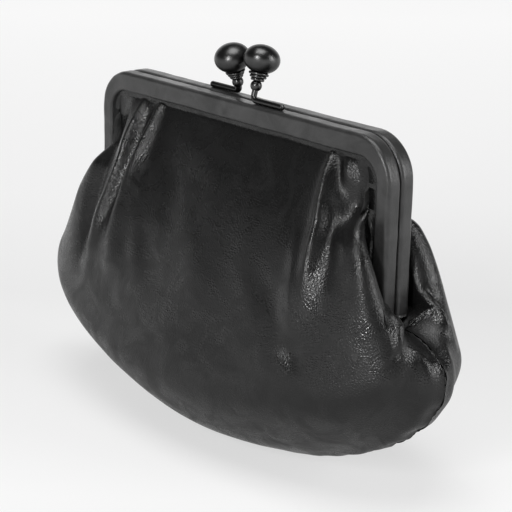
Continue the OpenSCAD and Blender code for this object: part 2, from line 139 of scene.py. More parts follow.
def maths(tree, operation, first, second, place=(0, 0)):
    made = tree.nodes.new("ShaderNodeMath")
    made.operation = operation
    made.location = place
    for socket, value in zip(made.inputs, (first, second)):
        if hasattr(value, "is_output"):
            join(tree, value, socket)
        else:
            socket.default_value = value
    return made.outputs[0]


def new_group(name, inputs, outputs):
    tree = bpy.data.node_groups.new(name, "ShaderNodeTree")
    for label, kind, value in inputs:
        socket = tree.interface.new_socket(name=label, in_out="INPUT", socket_type=kind)
        socket.default_value = value
    for label, kind in outputs:
        tree.interface.new_socket(name=label, in_out="OUTPUT", socket_type=kind)
    return tree, tree.nodes.new("NodeGroupInput"), tree.nodes.new("NodeGroupOutput")


def new_material(name):
    made = bpy.data.materials.new(name)
    made.use_nodes = True
    tree = made.node_tree
    return made, tree, tree.nodes["Principled BSDF"]


def use_group(tree, group, place=(0, 0), **inputs):
    made = tree.nodes.new("ShaderNodeGroup")
    made.node_tree = group
    made.location = place
    for name, value in inputs.items():
        made.inputs[name.replace("_", " ")].default_value = value
    return made


print("node helpers ready")

# %% [markdown]
# ## Leather grain, as a shared group
# Real leather shows three things at once: tiny pebbles, finer creases that run across them, and
# patches that are a little shinier where the skin was rubbed. One group makes all three from the
# place on the object, so that both leathers and the leather round the frame use it at their own scale.

# %% Leather grain group
grain_group, inside, outside = new_group(
    "leather grain",
    [("Pebble size", "NodeSocketFloat", 1300.0), ("Crease size", "NodeSocketFloat", 160.0),
     ("Patch size", "NodeSocketFloat", 45.0), ("Creases", "NodeSocketFloat", 0.5)],
    [("Height", "NodeSocketFloat"), ("Patches", "NodeSocketFloat"), ("Crease mask", "NodeSocketFloat")],
)
spot = node(grain_group, "ShaderNodeTexCoord", (-1200, 0))
bend = node(grain_group, "ShaderNodeTexNoise", (-1000, -300), Scale=60.0, Detail=2.0)
join(grain_group, spot.outputs["Object"], bend.inputs["Vector"])
shift = node(grain_group, "ShaderNodeVectorMath", (-800, -300))
shift.operation = "MULTIPLY_ADD"
shift.inputs[1].default_value = (0.008, 0.008, 0.008)
join(grain_group, bend.outputs["Color"], shift.inputs[0])
join(grain_group, spot.outputs["Object"], shift.inputs[2])
pebbles = node(grain_group, "ShaderNodeTexVoronoi", (-600, 200), Randomness=1.0)
pebbles.feature = "DISTANCE_TO_EDGE"
join(grain_group, spot.outputs["Object"], pebbles.inputs["Vector"])
join(grain_group, inside.outputs["Pebble size"], pebbles.inputs["Scale"])
pebble_height = ramp(grain_group, pebbles.outputs["Distance"], [(0.0, 0.0), (0.28, 1.0)], (-400, 200))
lines = node(grain_group, "ShaderNodeTexNoise", (-600, -100), Detail=6.0, Roughness=0.62)
lines.noise_type = "RIDGED_MULTIFRACTAL"
join(grain_group, shift.outputs["Vector"], lines.inputs["Vector"])
join(grain_group, inside.outputs["Crease size"], lines.inputs["Scale"])
crease_mask = ramp(grain_group, lines.outputs["Fac"], [(0.52, 0.0), (0.95, 1.0)], (-400, -100))
patches = node(grain_group, "ShaderNodeTexNoise", (-600, -400), Detail=5.0, Roughness=0.6, Distortion=1.4)
join(grain_group, shift.outputs["Vector"], patches.inputs["Vector"])
join(grain_group, inside.outputs["Patch size"], patches.inputs["Scale"])
patch_mask = ramp(grain_group, patches.outputs["Fac"], [(0.34, 0.0), (0.66, 1.0)], (-400, -400))
depth = maths(grain_group, "MULTIPLY", crease_mask, inside.outputs["Creases"], (-200, -100))
small = maths(grain_group, "MULTIPLY", pebble_height, 0.35, (-200, 200))
height = maths(grain_group, "SUBTRACT", small, depth, (0, 0))
join(grain_group, height, outside.inputs["Height"])
join(grain_group, patch_mask, outside.inputs["Patches"])
join(grain_group, crease_mask, outside.inputs["Crease mask"])
print("leather grain group:", len(grain_group.nodes), "nodes")

# %% [markdown]
# ## Worn edges with a painted sheen, as a shared group
# Edges that stick out are touched most, so dye and finish wear a little paler there; the same paler colour
# also paints a sheen along them, a painted highlight where light catches the edge.
# Edges that stick out are touched most, so dye and finish wear a little paler and shinier there.
# Geometry's Pointiness tells where a surface sticks out, and a noise breaks the line up.

# %% Edge wear and painted sheen group
sheen_and_wear_group, inside, outside = new_group(
    "rubbed edges", [("Amount", "NodeSocketFloat", 0.5)], [("Mask", "NodeSocketFloat")]
)
shape = node(sheen_and_wear_group, "ShaderNodeNewGeometry", (-800, 0))
sharp = ramp(sheen_and_wear_group, shape.outputs["Pointiness"], [(0.50, 0.0), (0.58, 1.0)], (-600, 0))
spot = node(sheen_and_wear_group, "ShaderNodeTexCoord", (-800, -300))
broken = node(sheen_and_wear_group, "ShaderNodeTexNoise", (-600, -300), Scale=120.0, Detail=4.0)
join(sheen_and_wear_group, spot.outputs["Object"], broken.inputs["Vector"])
# One mask marks the edges for worn dye and for a painted highlight at once.
worn_and_sheen = maths(sheen_and_wear_group, "MULTIPLY", sharp, broken.outputs["Fac"], (-300, 0))
sheen_and_wear_mask = maths(sheen_and_wear_group, "MULTIPLY", worn_and_sheen, inside.outputs["Amount"], (-100, 0))
join(sheen_and_wear_group, sheen_and_wear_mask, outside.inputs["Mask"])
print("worn and painted sheen edge group:", len(sheen_and_wear_group.nodes), "nodes")

# %% [markdown]
# ## Leather finishes
# The pouch is soft black leather with a waxy, uneven gloss. The frame is covered in a smoother, thinner
# leather that is a touch paler and has a thin clear coat. Both use the grain group, and both get paler edges
# that are partly wear and partly a painted sheen. What changes over the surface is linked, and what is the
# same everywhere is written on the shader's own sockets.


# %% Leather material
def leather(name, dark, pale, shine, grain, strength, reach, painted_sheen_and_wear, coat):
    made, tree, shader = new_material(name)
    skin = use_group(tree, grain_group, (-900, 0), **grain)
    edge = use_group(tree, sheen_and_wear_group, (-900, -300), Amount=painted_sheen_and_wear)
    tone = ramp(tree, skin.outputs["Patches"], [(0.0, dark), (1.0, pale)], (-650, 200))
    # Edges that stick out get the paler colour B: partly worn dye, partly a painted sheen standing in for
    # light catching the edge.
    tone_with_sheen_and_wear = node(tree, "ShaderNodeMix", (-350, 200))
    tone_with_sheen_and_wear.data_type = "RGBA"
    join(tree, edge.outputs["Mask"], tone_with_sheen_and_wear.inputs["Factor"])
    join(tree, tone, tone_with_sheen_and_wear.inputs["A"])
    tone_with_sheen_and_wear.inputs["B"].default_value = (pale * 3, pale * 2.9, pale * 2.8, 1.0)
    join(tree, tone_with_sheen_and_wear.outputs["Result"], shader.inputs["Base Color"])
    gloss = ramp(tree, skin.outputs["Patches"], [(0.0, shine[1]), (1.0, shine[0])], (-650, -50))
    join(tree, gloss, shader.inputs["Roughness"])
    bump = node(tree, "ShaderNodeBump", (-350, -300), Strength=strength, Distance=reach)
    join(tree, skin.outputs["Height"], bump.inputs["Height"])
    join(tree, bump.outputs["Normal"], shader.inputs["Normal"])
    shader.inputs["Coat Weight"].default_value = coat
    shader.inputs["Coat Roughness"].default_value = 0.28
    return made


pouch_leather = leather(
    "pouch leather", 0.001, 0.009, (0.17, 0.44),
    dict(Pebble_size=1150.0, Crease_size=190.0, Patch_size=75.0, Creases=1.2),
    strength=0.36, reach=0.0004, painted_sheen_and_wear=0.2, coat=0.0,
)
frame_leather = leather(
    "frame leather", 0.012, 0.036, (0.28, 0.46),
    dict(Pebble_size=1500.0, Crease_size=260.0, Patch_size=70.0, Creases=0.6),
    strength=0.35, reach=0.0003, painted_sheen_and_wear=0.6, coat=0.3,
)
print("leathers:", pouch_leather.name, "and", frame_leather.name)

# %% [markdown]
# ## Dark metal
# The clasp is plated in gunmetal: almost black, a little blurred, with faint swirls from tumbling.
# It is a metal, so its colour is the colour of what it reflects, and stays dark. Its edges are paler, partly
# from wear and partly as a painted sheen.


# %% Metal material
def metal(name, dark, pale, rough, scale, strength):
    made, tree, shader = new_material(name)
    spot = node(tree, "ShaderNodeTexCoord", (-1000, 0))
    cloud = node(tree, "ShaderNodeTexNoise", (-800, 0), Scale=scale, Detail=5.0, Roughness=0.6)
    join(tree, spot.outputs["Object"], cloud.inputs["Vector"])
    edge = use_group(tree, sheen_and_wear_group, (-800, -300), Amount=0.7)
    tone = ramp(tree, cloud.outputs["Fac"], [(0.3, dark), (0.7, pale)], (-600, 100))
    # Edges that stick out get the paler colour B: partly worn plating, partly a painted sheen standing in for
    # light on the edge.
    tone_with_sheen_and_wear = node(tree, "ShaderNodeMix", (-300, 100))
    tone_with_sheen_and_wear.data_type = "RGBA"
    join(tree, edge.outputs["Mask"], tone_with_sheen_and_wear.inputs["Factor"])
    join(tree, tone, tone_with_sheen_and_wear.inputs["A"])
    tone_with_sheen_and_wear.inputs["B"].default_value = (pale * 2, pale * 2, pale * 2, 1.0)
    join(tree, tone_with_sheen_and_wear.outputs["Result"], shader.inputs["Base Color"])
    blur = ramp(tree, cloud.outputs["Fac"], [(0.3, rough[0]), (0.7, rough[1])], (-600, -100))
    join(tree, blur, shader.inputs["Roughness"])
    fine = node(tree, "ShaderNodeTexNoise", (-800, -500), Scale=scale * 14, Detail=3.0)
    join(tree, spot.outputs["Object"], fine.inputs["Vector"])
    bump = node(tree, "ShaderNodeBump", (-300, -300), Strength=strength, Distance=0.0001)
    join(tree, fine.outputs["Fac"], bump.inputs["Height"])
    join(tree, bump.outputs["Normal"], shader.inputs["Normal"])
    shader.inputs["Metallic"].default_value = 1.0
    return made


gunmetal = metal("gunmetal", 0.055, 0.085, (0.27, 0.36), 160.0, 0.25)
steel = metal("channel steel", 0.16, 0.26, (0.3, 0.42), 220.0, 0.3)
print("metals:", gunmetal.name, "and", steel.name)

# %% [markdown]
# ## Cloth, cord and thread
# The lining is a plain dark twill and the paper cord is twisted kraft paper, hidden in the channel.
# Both show only when the purse is open. Two crossed waves make the weave.


# %% Cloth, paper and thread materials
def woven(name, dark, pale, threads, rough, strength, tint=(1.0, 1.0, 1.0)):
    made, tree, shader = new_material(name)
    spot = node(tree, "ShaderNodeTexCoord", (-1100, 0))
    heights = []
    for direction in ("X", "Z"):
        place = (-900, -250 * len(heights))
        wave = node(tree, "ShaderNodeTexWave", place, Scale=threads, Distortion=0.6, Detail=1.0)
        wave.bands_direction = direction
        join(tree, spot.outputs["Object"], wave.inputs["Vector"])
        heights.append(wave.outputs["Fac"])
    weave = maths(tree, "MULTIPLY", heights[0], heights[1], (-650, 0))
    shade = node(tree, "ShaderNodeMix", (-350, 150))
    shade.data_type = "RGBA"
    shade.inputs["A"].default_value = (*[dark * t for t in tint], 1.0)
    shade.inputs["B"].default_value = (*[pale * t for t in tint], 1.0)
    join(tree, weave, shade.inputs["Factor"])
    join(tree, shade.outputs["Result"], shader.inputs["Base Color"])
    blur = ramp(tree, weave, [(0.0, rough + 0.1), (1.0, rough)], (-350, -100))
    join(tree, blur, shader.inputs["Roughness"])
    bump = node(tree, "ShaderNodeBump", (-350, -350), Strength=strength, Distance=0.0002)
    join(tree, weave, bump.inputs["Height"])
    join(tree, bump.outputs["Normal"], shader.inputs["Normal"])
    return made


lining_cloth = woven("lining cloth", 0.010, 0.026, 700.0, 0.75, 0.5)
paper_twist = woven("twisted paper", 0.42, 0.7, 500.0, 0.85, 0.4, (1.0, 0.84, 0.6))
thread_twist = woven("waxed thread", 0.008, 0.02, 2600.0, 0.5, 0.6)
print("soft finishes:", lining_cloth.name, paper_twist.name, thread_twist.name)

# %% [markdown]
# ## Meshes from rows of points
# Every piece here is a surface through rows of points. One helper turns a grid of points into faces,
# another closes two grids into a sheet with thickness, which is what a piece of leather is. A third one
# measures how far along a line each of its points lies.


# %% Mesh helpers
def mesh_object(name, points, faces, material):
    made = bpy.data.meshes.new(name)
    made.from_pydata((np.asarray(points).reshape(-1, 3) * MM).tolist(), [], faces)
    made.polygons.foreach_set("use_smooth", [True] * len(made.polygons))
    made.materials.append(material)
    made.update()
    piece = bpy.data.objects.new(name, made)
    bpy.context.scene.collection.objects.link(piece)
    return piece


def run_along(points):
    """The length of a line of points from its start up to each point."""
    return np.concatenate([[0.0], np.cumsum(np.linalg.norm(np.diff(points, axis=0), axis=1))])


def grid_faces(rows, columns, start=0, flip=False, around=False):
    i, j = np.meshgrid(np.arange(rows - 1), np.arange(columns if around else columns - 1), indexing="ij")
    a = start + i * columns + j
    b = start + i * columns + (j + 1) % columns
    quads = np.stack([a, b, b + columns, a + columns], -1).reshape(-1, 4)
    return (quads[:, ::-1] if flip else quads).tolist()


def sheet_object(name, outer, inner, material, flip=False):
    rows, columns = outer.shape[:2]
    count = rows * columns
    faces = grid_faces(rows, columns, 0, flip) + grid_faces(rows, columns, count, not flip)
    rim = [(i, 0) for i in range(rows)] + [(rows - 1, j) for j in range(1, columns)]
    rim += [(i, columns - 1) for i in range(rows - 2, -1, -1)] + [(0, j) for j in range(columns - 2, 0, -1)]
    ring = [i * columns + j for i, j in rim]
    for a, b in zip(ring, ring[1:] + ring[:1]):
        face = [a, b, b + count, a + count]
        faces.append(face if flip else face[::-1])
    return mesh_object(name, np.concatenate([outer.reshape(-1, 3), inner.reshape(-1, 3)]), faces, material)


def tube_object(name, rings, material):
    rings = np.asarray(rings)
    rows, columns = rings.shape[:2]
    faces = grid_faces(rows, columns, 0, False, True)
    faces.append(list(range(columns))[::-1])
    faces.append([(rows - 1) * columns + j for j in range(columns)])
    return mesh_object(name, rings, faces, material)


print("mesh helpers ready")

# %% [markdown]
# ## The shape of a leather panel
# Each side of the purse is one panel: it leaves the frame's window, swells over the belly and turns
# under to the seam. The pattern of the CAD model is used again here: a line on the window, a line at the
# deepest place and a line on the seam, joined by curves. Along is 0 in the middle and 1 at the hinge,
# and down is 0 at the window, 1 at the deepest place and 2 at the seam.

# %% Sizes of the panel's lines
RIM_GAP, RIM_Y, TAB_END = 1.2, 4.87, 64.5
RIM_X = HALF_WIDTH - ARM_RAIL - RIM_GAP
RIM_Z = FRAME_TOP - TOP_RAIL - RIM_GAP
RIM_R = CORNER - TOP_RAIL - RIM_GAP
SEAM_X, SEAM_END_X, SEAM_WIDE, SEAM_TOP, SEAM_GAP = 98.3, 78.0, 46.0, 58.5, 0.35
BELLY_X, BELLY_DEPTH, BELLY_Z = 90.3, 37.0, 26.0
SIDE_DEPTH, SIDE_Z = 13.5, 51.0
EAR_X, EAR_DEPTH, EAR_BELLY = 83.0, 9.5, 65.5
BASE_PRESS = 2.0
TOP_END, CORNER_END, SIDE_START, EAR_START = 0.5, 0.64, 0.4, 0.8
SEAM_SPREAD, SEAM_SQUARE, EAR_CURVE, BELLY_SPREAD = 0.9, 1.9, 1.25, 1.2
LEAVE_X, LEAVE_Y, LEAVE_Z, UNDER_ROUND = (1.8, 1.6), (1.8, -0.8), (1.3, 0.3), 1.19
print("the window's edge is", 2 * RIM_X, "mm wide, the seam", 2 * SEAM_X, "mm")


# %% The lines of a panel
def ease(t):
    t = np.clip(t, 0.0, 1.0)
    return t * t * (3.0 - 2.0 * t)


def window_line(along, grow=0.0):
    flat, radius = RIM_X - RIM_R, RIM_R + grow
    angle = np.radians(90.0 * (along - TOP_END) / (CORNER_END - TOP_END))
    low = (along - CORNER_END) / (1.0 - CORNER_END)
    on_top, on_corner = along <= TOP_END, along <= CORNER_END
    corner_x = flat + radius * np.sin(angle)
    corner_z = RIM_Z - RIM_R + radius * np.cos(angle)
    arm_z = RIM_Z - RIM_R + (TAB_END - RIM_Z + RIM_R) * low
    x = np.where(on_top, flat * along / TOP_END, np.where(on_corner, corner_x, RIM_X + grow))
    z = np.where(on_top, RIM_Z + grow, np.where(on_corner, corner_z, arm_z))
    return np.stack([x, np.full_like(x, RIM_Y), z], -1)


def turns(along):
    inward = np.radians(90.0 * np.minimum(1.0, along / EAR_START))
    back = np.radians(90.0 * np.clip((along - EAR_START) / (1.0 - EAR_START), 0.0, 1.0))
    return inward, back


def seam_line(along):
    a, b = turns(along)
    reach = np.sin(a) ** SEAM_SPREAD
    rise = 1.0 - (1.0 - np.minimum(1.0, reach) ** SEAM_SQUARE) ** (1.0 / SEAM_SQUARE)
    wide = along <= EAR_START
    side_z = -BASE_PRESS + (SEAM_WIDE + BASE_PRESS) * rise
    ear_z = SEAM_WIDE + (SEAM_TOP - SEAM_WIDE) * np.sin(b) ** EAR_CURVE
    x = np.where(wide, SEAM_X * reach, SEAM_END_X + (SEAM_X - SEAM_END_X) * np.cos(b))
    return np.stack([x, np.full_like(x, SEAM_GAP), np.where(wide, side_z, ear_z)], -1)


def belly_line(along):
    a, b = turns(along)
    wide = along <= EAR_START
    side_y = SIDE_DEPTH + (BELLY_DEPTH - SIDE_DEPTH) * np.cos(a)
    ear_y = EAR_DEPTH + (SIDE_DEPTH - EAR_DEPTH) * (1 - np.sin(b))
    side_z = BELLY_Z + (SIDE_Z - BELLY_Z) * (1 - np.cos(a))
    ear_z = SIDE_Z + (EAR_BELLY - SIDE_Z) * np.sin(b)
    x = np.where(wide, BELLY_X * np.sin(a) ** BELLY_SPREAD, EAR_X + (BELLY_X - EAR_X) * np.cos(b))
    return np.stack([x, np.where(wide, side_y, ear_y), np.where(wide, side_z, ear_z)], -1)


print("belly at", belly_line(np.array([0.0]))[0].round(1).tolist(), "mm")

# %% [markdown]
# ## The surface between the lines
# From the window to the deepest place the leather first hangs, then swells. How soon it swells is set by
# powers of a sine and a cosine, one for each direction, and they change from the middle to the side.
# From the deepest place it turns under to the seam in a rounded quarter turn.


# %% The surface of a panel
def panel_shape(along, down):
    top, wide, low = window_line(along), belly_line(along), seam_line(along)
    side = ease((along - SIDE_START) / (EAR_START - SIDE_START))
    a = np.radians(90.0 * np.clip(down, 0.0, 1.0))
    b = np.radians(90.0 * np.clip(down - 1.0, 0.0, 1.0))
    leave = np.stack([
        np.sin(a) ** (LEAVE_X[0] + LEAVE_X[1] * side),
        np.sin(a) ** (LEAVE_Y[0] + LEAVE_Y[1] * side),
        1.0 - np.maximum(0.0, np.cos(a)) ** (LEAVE_Z[0] + LEAVE_Z[1] * side),
    ], -1)
    back = np.maximum(0.0, np.cos(b)) ** UNDER_ROUND
    fall = 1.0 - np.sin(b) ** UNDER_ROUND
    under = low + (wide - low) * np.stack([back, back, fall], -1)
    return np.where((down <= 1.0)[..., None], top + (wide - top) * leave, under)


deepest = panel_shape(np.array([0.0]), np.array([1.0]))[0]
print("deepest place of the middle:", deepest.round(1).tolist(), "mm")

# %% [markdown]
# ## A dense grid over the panel
# The panel is cut into a fine grid, so that folds only a few millimetres wide can be pressed into it.
# The columns run from the left hinge to the right one and stand closer where the pleats are. Along each
# column the points have even distances, and the turn at the belly is rounded off. Front and back panels
# share the grid, and the back one is turned round at the end.

# %% Columns of the grid
COLUMNS, ROWS = ((421, 231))
PLEAT_PLACE, PLEAT_SPAN, PLEAT_CROWD, ROW_CROWD = 0.42, 0.16, 1.6, 1.08
HALF_KERNEL, KERNEL_WIDTH = 30, 2.5
places = np.linspace(-1.0, 1.0, 2001)
crowd = 1.0 + PLEAT_CROWD * np.exp(-(((np.abs(places) - PLEAT_PLACE) / PLEAT_SPAN) ** 2))
crowd = np.cumsum(crowd)
across = np.interp(np.linspace(crowd[0], crowd[-1], COLUMNS), crowd, places)


def on_panel(side, level):
    spot = panel_shape(np.abs(side), level)
    spot[..., 0] *= np.sign(side)
    spot[..., 1] *= -1.0
    return spot


def even_column(side):
    """Points at even distances down the panel, rounded off between the window's and the seam's edge."""
    level = np.linspace(0.0, 2.0, 500)
    spots = on_panel(np.full_like(level, side), level)
    run = run_along(spots)
    even = np.linspace(0.0, run[-1], 400)
    spots = np.stack([np.interp(even, run, spots[:, k]) for k in range(3)], -1)
    kernel = np.exp(-(np.linspace(-KERNEL_WIDTH, KERNEL_WIDTH, 2 * HALF_KERNEL + 1) ** 2) / 2)
    before = 2 * spots[0] - spots[HALF_KERNEL:0:-1]
    after = 2 * spots[-1] - spots[-2:-HALF_KERNEL - 2:-1]
    padded = np.vstack([before, spots, after])
    mean = [np.convolve(padded[:, k], kernel / kernel.sum(), "valid") for k in range(3)]
    share = (ease((even - 5.0) / 14.0) * ease((run[-1] - even - 2.0) / 8.0))[:, None]
    spots = spots + (np.stack(mean, -1) - spots) * share
    wanted = run[-1] * np.linspace(0.0, 1.0, ROWS) ** ROW_CROWD
    spots = np.stack([np.interp(wanted, even, spots[:, k]) for k in range(3)], -1)
    return spots, np.interp(wanted, run, level)


columns_made = [even_column(side) for side in across]
down = np.stack([level for _, level in columns_made])
side_of = np.repeat(across[:, None], ROWS, axis=1)
along = np.abs(side_of)
print("panel grid of", COLUMNS, "columns and", ROWS, "rows")

# %% [markdown]
# ## Leather beside the arms
# In the window's upper corners the leather lies low, just behind the front of the frame, and only further
# down does it swell past the arm and cross it. A clip would pile points up on one line, so the grid is
# squeezed towards the arm instead, and then each point takes a share of its neighbours' places.

# %% Leather beside the arms
LOW_X, LOW_X_FADE, LOW_Z, LOW_Z_FADE, LOW_DEPTH = 54.0, 8.0, 86.0, 12.0, FAR - 0.8
SQUEEZE, CROSS_SLOPE, CROSS_TOP = 6.0, 0.75, 92.0
UNSQUEEZED, SQUEEZE_FADE, TOP_EDGE = 64.0, 12.0, 1.5


def beside_arms(spots):
    made = spots.copy()
    wide, high = np.abs(spots[..., 0]), spots[..., 2]
    low = ease((wide - LOW_X) / LOW_X_FADE) * ease((high - LOW_Z) / LOW_Z_FADE)
    made[..., 1] = spots[..., 1] * (1.0 - low) - LOW_DEPTH * low
    clamped = np.maximum(made[..., 1], spots[..., 1])
    made[..., 1] = np.where(high > RIM_Z - TOP_EDGE, clamped, made[..., 1])
    start = RIM_X - SQUEEZE + CROSS_SLOPE * np.maximum(0.0, CROSS_TOP - high)
    past = np.maximum(0.0, wide - start)
    over = past - SQUEEZE * (1.0 - np.exp(-past / SQUEEZE))
    made[..., 0] = np.sign(spots[..., 0]) * (wide - over * ease((high - UNSQUEEZED) / SQUEEZE_FADE))
    return made


def smoothed(field, times):
    """Each value takes a part of its neighbours' values, along and across the grid."""
    field = field.copy()
    for _ in range(times):
        field[1:-1] = 0.25 * field[:-2] + 0.5 * field[1:-1] + 0.25 * field[2:]
        field[:, 1:-1] = 0.25 * field[:, :-2] + 0.5 * field[:, 1:-1] + 0.25 * field[:, 2:]
    return field


EDGE_ROWS = 3
base = beside_arms(np.stack([spots for spots, _ in columns_made]))
base[:, EDGE_ROWS:] = smoothed(base, 6)[:, EDGE_ROWS:]
print("widest place of the grid:", np.abs(base[..., 0]).max().round(1), "mm from the middle")

# %% [markdown]
# ## Which way the leather faces
# A fold moves leather straight out of the panel. That direction is the cross product of the steps to the
# next row and the next column. It is smoothed, so that neighbouring points of a fold move side by side.


# %% Directions
def facing(points):
    du = np.gradient(points, axis=0)
    dv = np.gradient(points, axis=1)
    out = np.cross(dv, du)
    return out / np.maximum(1e-9, np.linalg.norm(out, axis=-1, keepdims=True))


normal = smoothed(facing(base), 10)
normal /= np.linalg.norm(normal, axis=-1, keepdims=True)
print("the front of the belly faces", normal[COLUMNS // 2, ROWS // 2].round(2).tolist())

# %% [markdown]
# ## Folds
# A gathered panel has a few long pleats that start sharp at the frame and fade into the belly.
# A real pleat could be simulated as cloth, but then its place would be left to chance, and here each one
# has a known place. So each fold is a line drawn on the panel with a height and two widths along it.
# Points near the line move straight out of the panel, steeply on one side and gently on the other.
# A narrow ridge gets a sharp crest and a wide one a round crest, as real leather does.


# %% Fold helper
REACH, LEAST_WIDTH, FALL = 4.0, 0.3, 1.2
NARROW, WIDENING, SHARP_RIDGE, SHARP_VALLEY, ROUNDEST = 1.5, 4.0, 0.25, 0.8, 1.2


def smooth_path(points, steps=8):
    p = np.asarray(points, float)
    p = np.vstack([2 * p[0] - p[1], p, 2 * p[-1] - p[-2]])
    made = []
    for i in range(1, len(p) - 2):
        for t in np.linspace(0.0, 1.0, steps, endpoint=False):
            a, b, c, d = p[i - 1], p[i], p[i + 1], p[i + 2]
            bend = (2 * a - 5 * b + 4 * c - d) * t * t
            twist = (3 * b - a - 3 * c + d) * t ** 3
            made.append(0.5 * (2 * b + (c - a) * t + bend + twist))
    made.append(p[-2])
    return np.array(made)


def fold(height, spots):
    """Each spot holds side, down, height, width to the left and width to the right, the last three in mm."""
    path = smooth_path(spots)
    line = on_panel(path[:, 0], np.clip(path[:, 1], 0.0, 2.0))
    reach = REACH * path[:, 3:5].max()
    low, high = line.min(0) - reach, line.max(0) + reach
    near = ((base > low) & (base < high)).all(-1)
    spot, out = base[near], normal[near]
    best = np.full(len(spot), 1e9)
    value = np.zeros(len(spot))
    for a, b, pa, pb in zip(line[:-1], line[1:], path[:-1], path[1:]):
        step = b - a
        t = np.clip(((spot - a) @ step) / max(1e-9, step @ step), 0.0, 1.0)
        gap = spot - (a + t[:, None] * step)
        away = np.linalg.norm(gap, axis=1)
        left = (np.cross(step, out) * gap).sum(1) > 0
        width = np.where(left, pa[3] + (pb[3] - pa[3]) * t, pa[4] + (pb[4] - pa[4]) * t)
        rise = pa[2] + (pb[2] - pa[2]) * t
        closer = away < best
        best = np.where(closer, away, best)
        share = away / np.maximum(LEAST_WIDTH, width)
        least_blunt = np.where(rise > 0.0, SHARP_RIDGE, SHARP_VALLEY)
        blunt = np.clip((width - NARROW) / WIDENING, least_blunt, ROUNDEST)
        fall = FALL / (np.sqrt(1.0 + blunt ** 2) - blunt)
        lifted = rise * np.exp(-fall * (np.sqrt(share ** 2 + blunt ** 2) - blunt))
        value = np.where(closer, lifted, value)
    height[near] += value


print("fold helper ready")

# %% [markdown]
# ## The front panel's folds
# The left group starts a third of the way from the middle and spreads to the left, the right group does the
# same to the right, and a broad roll of leather runs from the window's corner past the frame's arm.
# Heights with a minus sign are valleys. Between the groups the panel is smooth with a few soft swells.
# Every spot of a fold is side, down, height, width to the left and width to the right.

# %% Left group of the front panel
left_group = [
    # left group: a sharp ridge from the frame that opens into a soft swell
    [(-0.334, 0.0, 1.4, 1.0, 1.2), (-0.326, 0.12, 2.6, 1.3, 1.7), (-0.314, 0.25, 3.8, 1.6, 2.3),
     (-0.309, 0.36, 4.2, 1.9, 2.9), (-0.311, 0.44, 3.8, 2.2, 3.8), (-0.309, 0.51, 3.2, 3.0, 5.0),
     (-0.303, 0.58, 2.8, 4.5, 6.5), (-0.290, 0.66, 2.4, 6.0, 7.5), (-0.262, 0.73, 1.4, 7.0, 8.0),
     (-0.240, 0.82, 0.0, 8.0, 9.0)],
    [(-0.300, 0.26, 0.0, 2.0, 2.0), (-0.283, 0.37, 0.9, 2.0, 3.0), (-0.272, 0.45, 1.2, 2.2, 3.4),
     (-0.258, 0.53, 0.9, 3.0, 4.0), (-0.246, 0.62, 0.0, 4.0, 5.0)],
    # its neighbour, steep to the right and gentle to the left, and the valley between them
    [(-0.415, 0.03, 0.6, 1.6, 1.2), (-0.402, 0.18, 2.0, 2.4, 1.5), (-0.382, 0.32, 3.2, 3.6, 1.8),
     (-0.358, 0.43, 3.8, 4.4, 1.9), (-0.357, 0.52, 3.8, 4.8, 2.2), (-0.366, 0.60, 3.6, 5.0, 3.0),
     (-0.370, 0.69, 2.6, 5.5, 4.5), (-0.385, 0.77, 1.2, 6.0, 6.0), (-0.40, 0.88, 0.0, 7.0, 7.0)],
    [(-0.372, 0.05, -0.6, 1.6, 1.6), (-0.362, 0.20, -1.6, 2.0, 2.0), (-0.345, 0.34, -2.0, 2.2, 2.2),
     (-0.333, 0.45, -2.2, 2.4, 2.4), (-0.336, 0.54, -2.0, 3.0, 3.0), (-0.338, 0.62, -0.8, 4.0, 4.0),
     (-0.336, 0.70, 0.0, 5.0, 5.0)],
    # the hollow to their left
    [(-0.462, 0.26, 0.0, 3.0, 3.0), (-0.456, 0.38, -1.4, 4.0, 3.6), (-0.452, 0.50, -2.6, 5.0, 4.2),
     (-0.448, 0.61, -3.2, 5.4, 4.4), (-0.436, 0.70, -2.6, 5.0, 4.4), (-0.418, 0.78, -1.2, 5.0, 5.0),
     (-0.405, 0.88, 0.0, 6.0, 6.0)],
    [(-0.235, 0.52, 0.0, 4.0, 4.0), (-0.205, 0.62, 0.8, 4.0, 3.0), (-0.178, 0.69, 0.9, 5.0, 3.4),
     (-0.150, 0.77, 0.0, 7.0, 6.0)],
    [(-0.240, 0.72, 0.0, 4.0, 4.0), (-0.246, 0.78, -1.0, 4.0, 4.0), (-0.262, 0.85, 0.0, 5.0, 5.0)],
]
print(len(left_group), "folds in the left group")

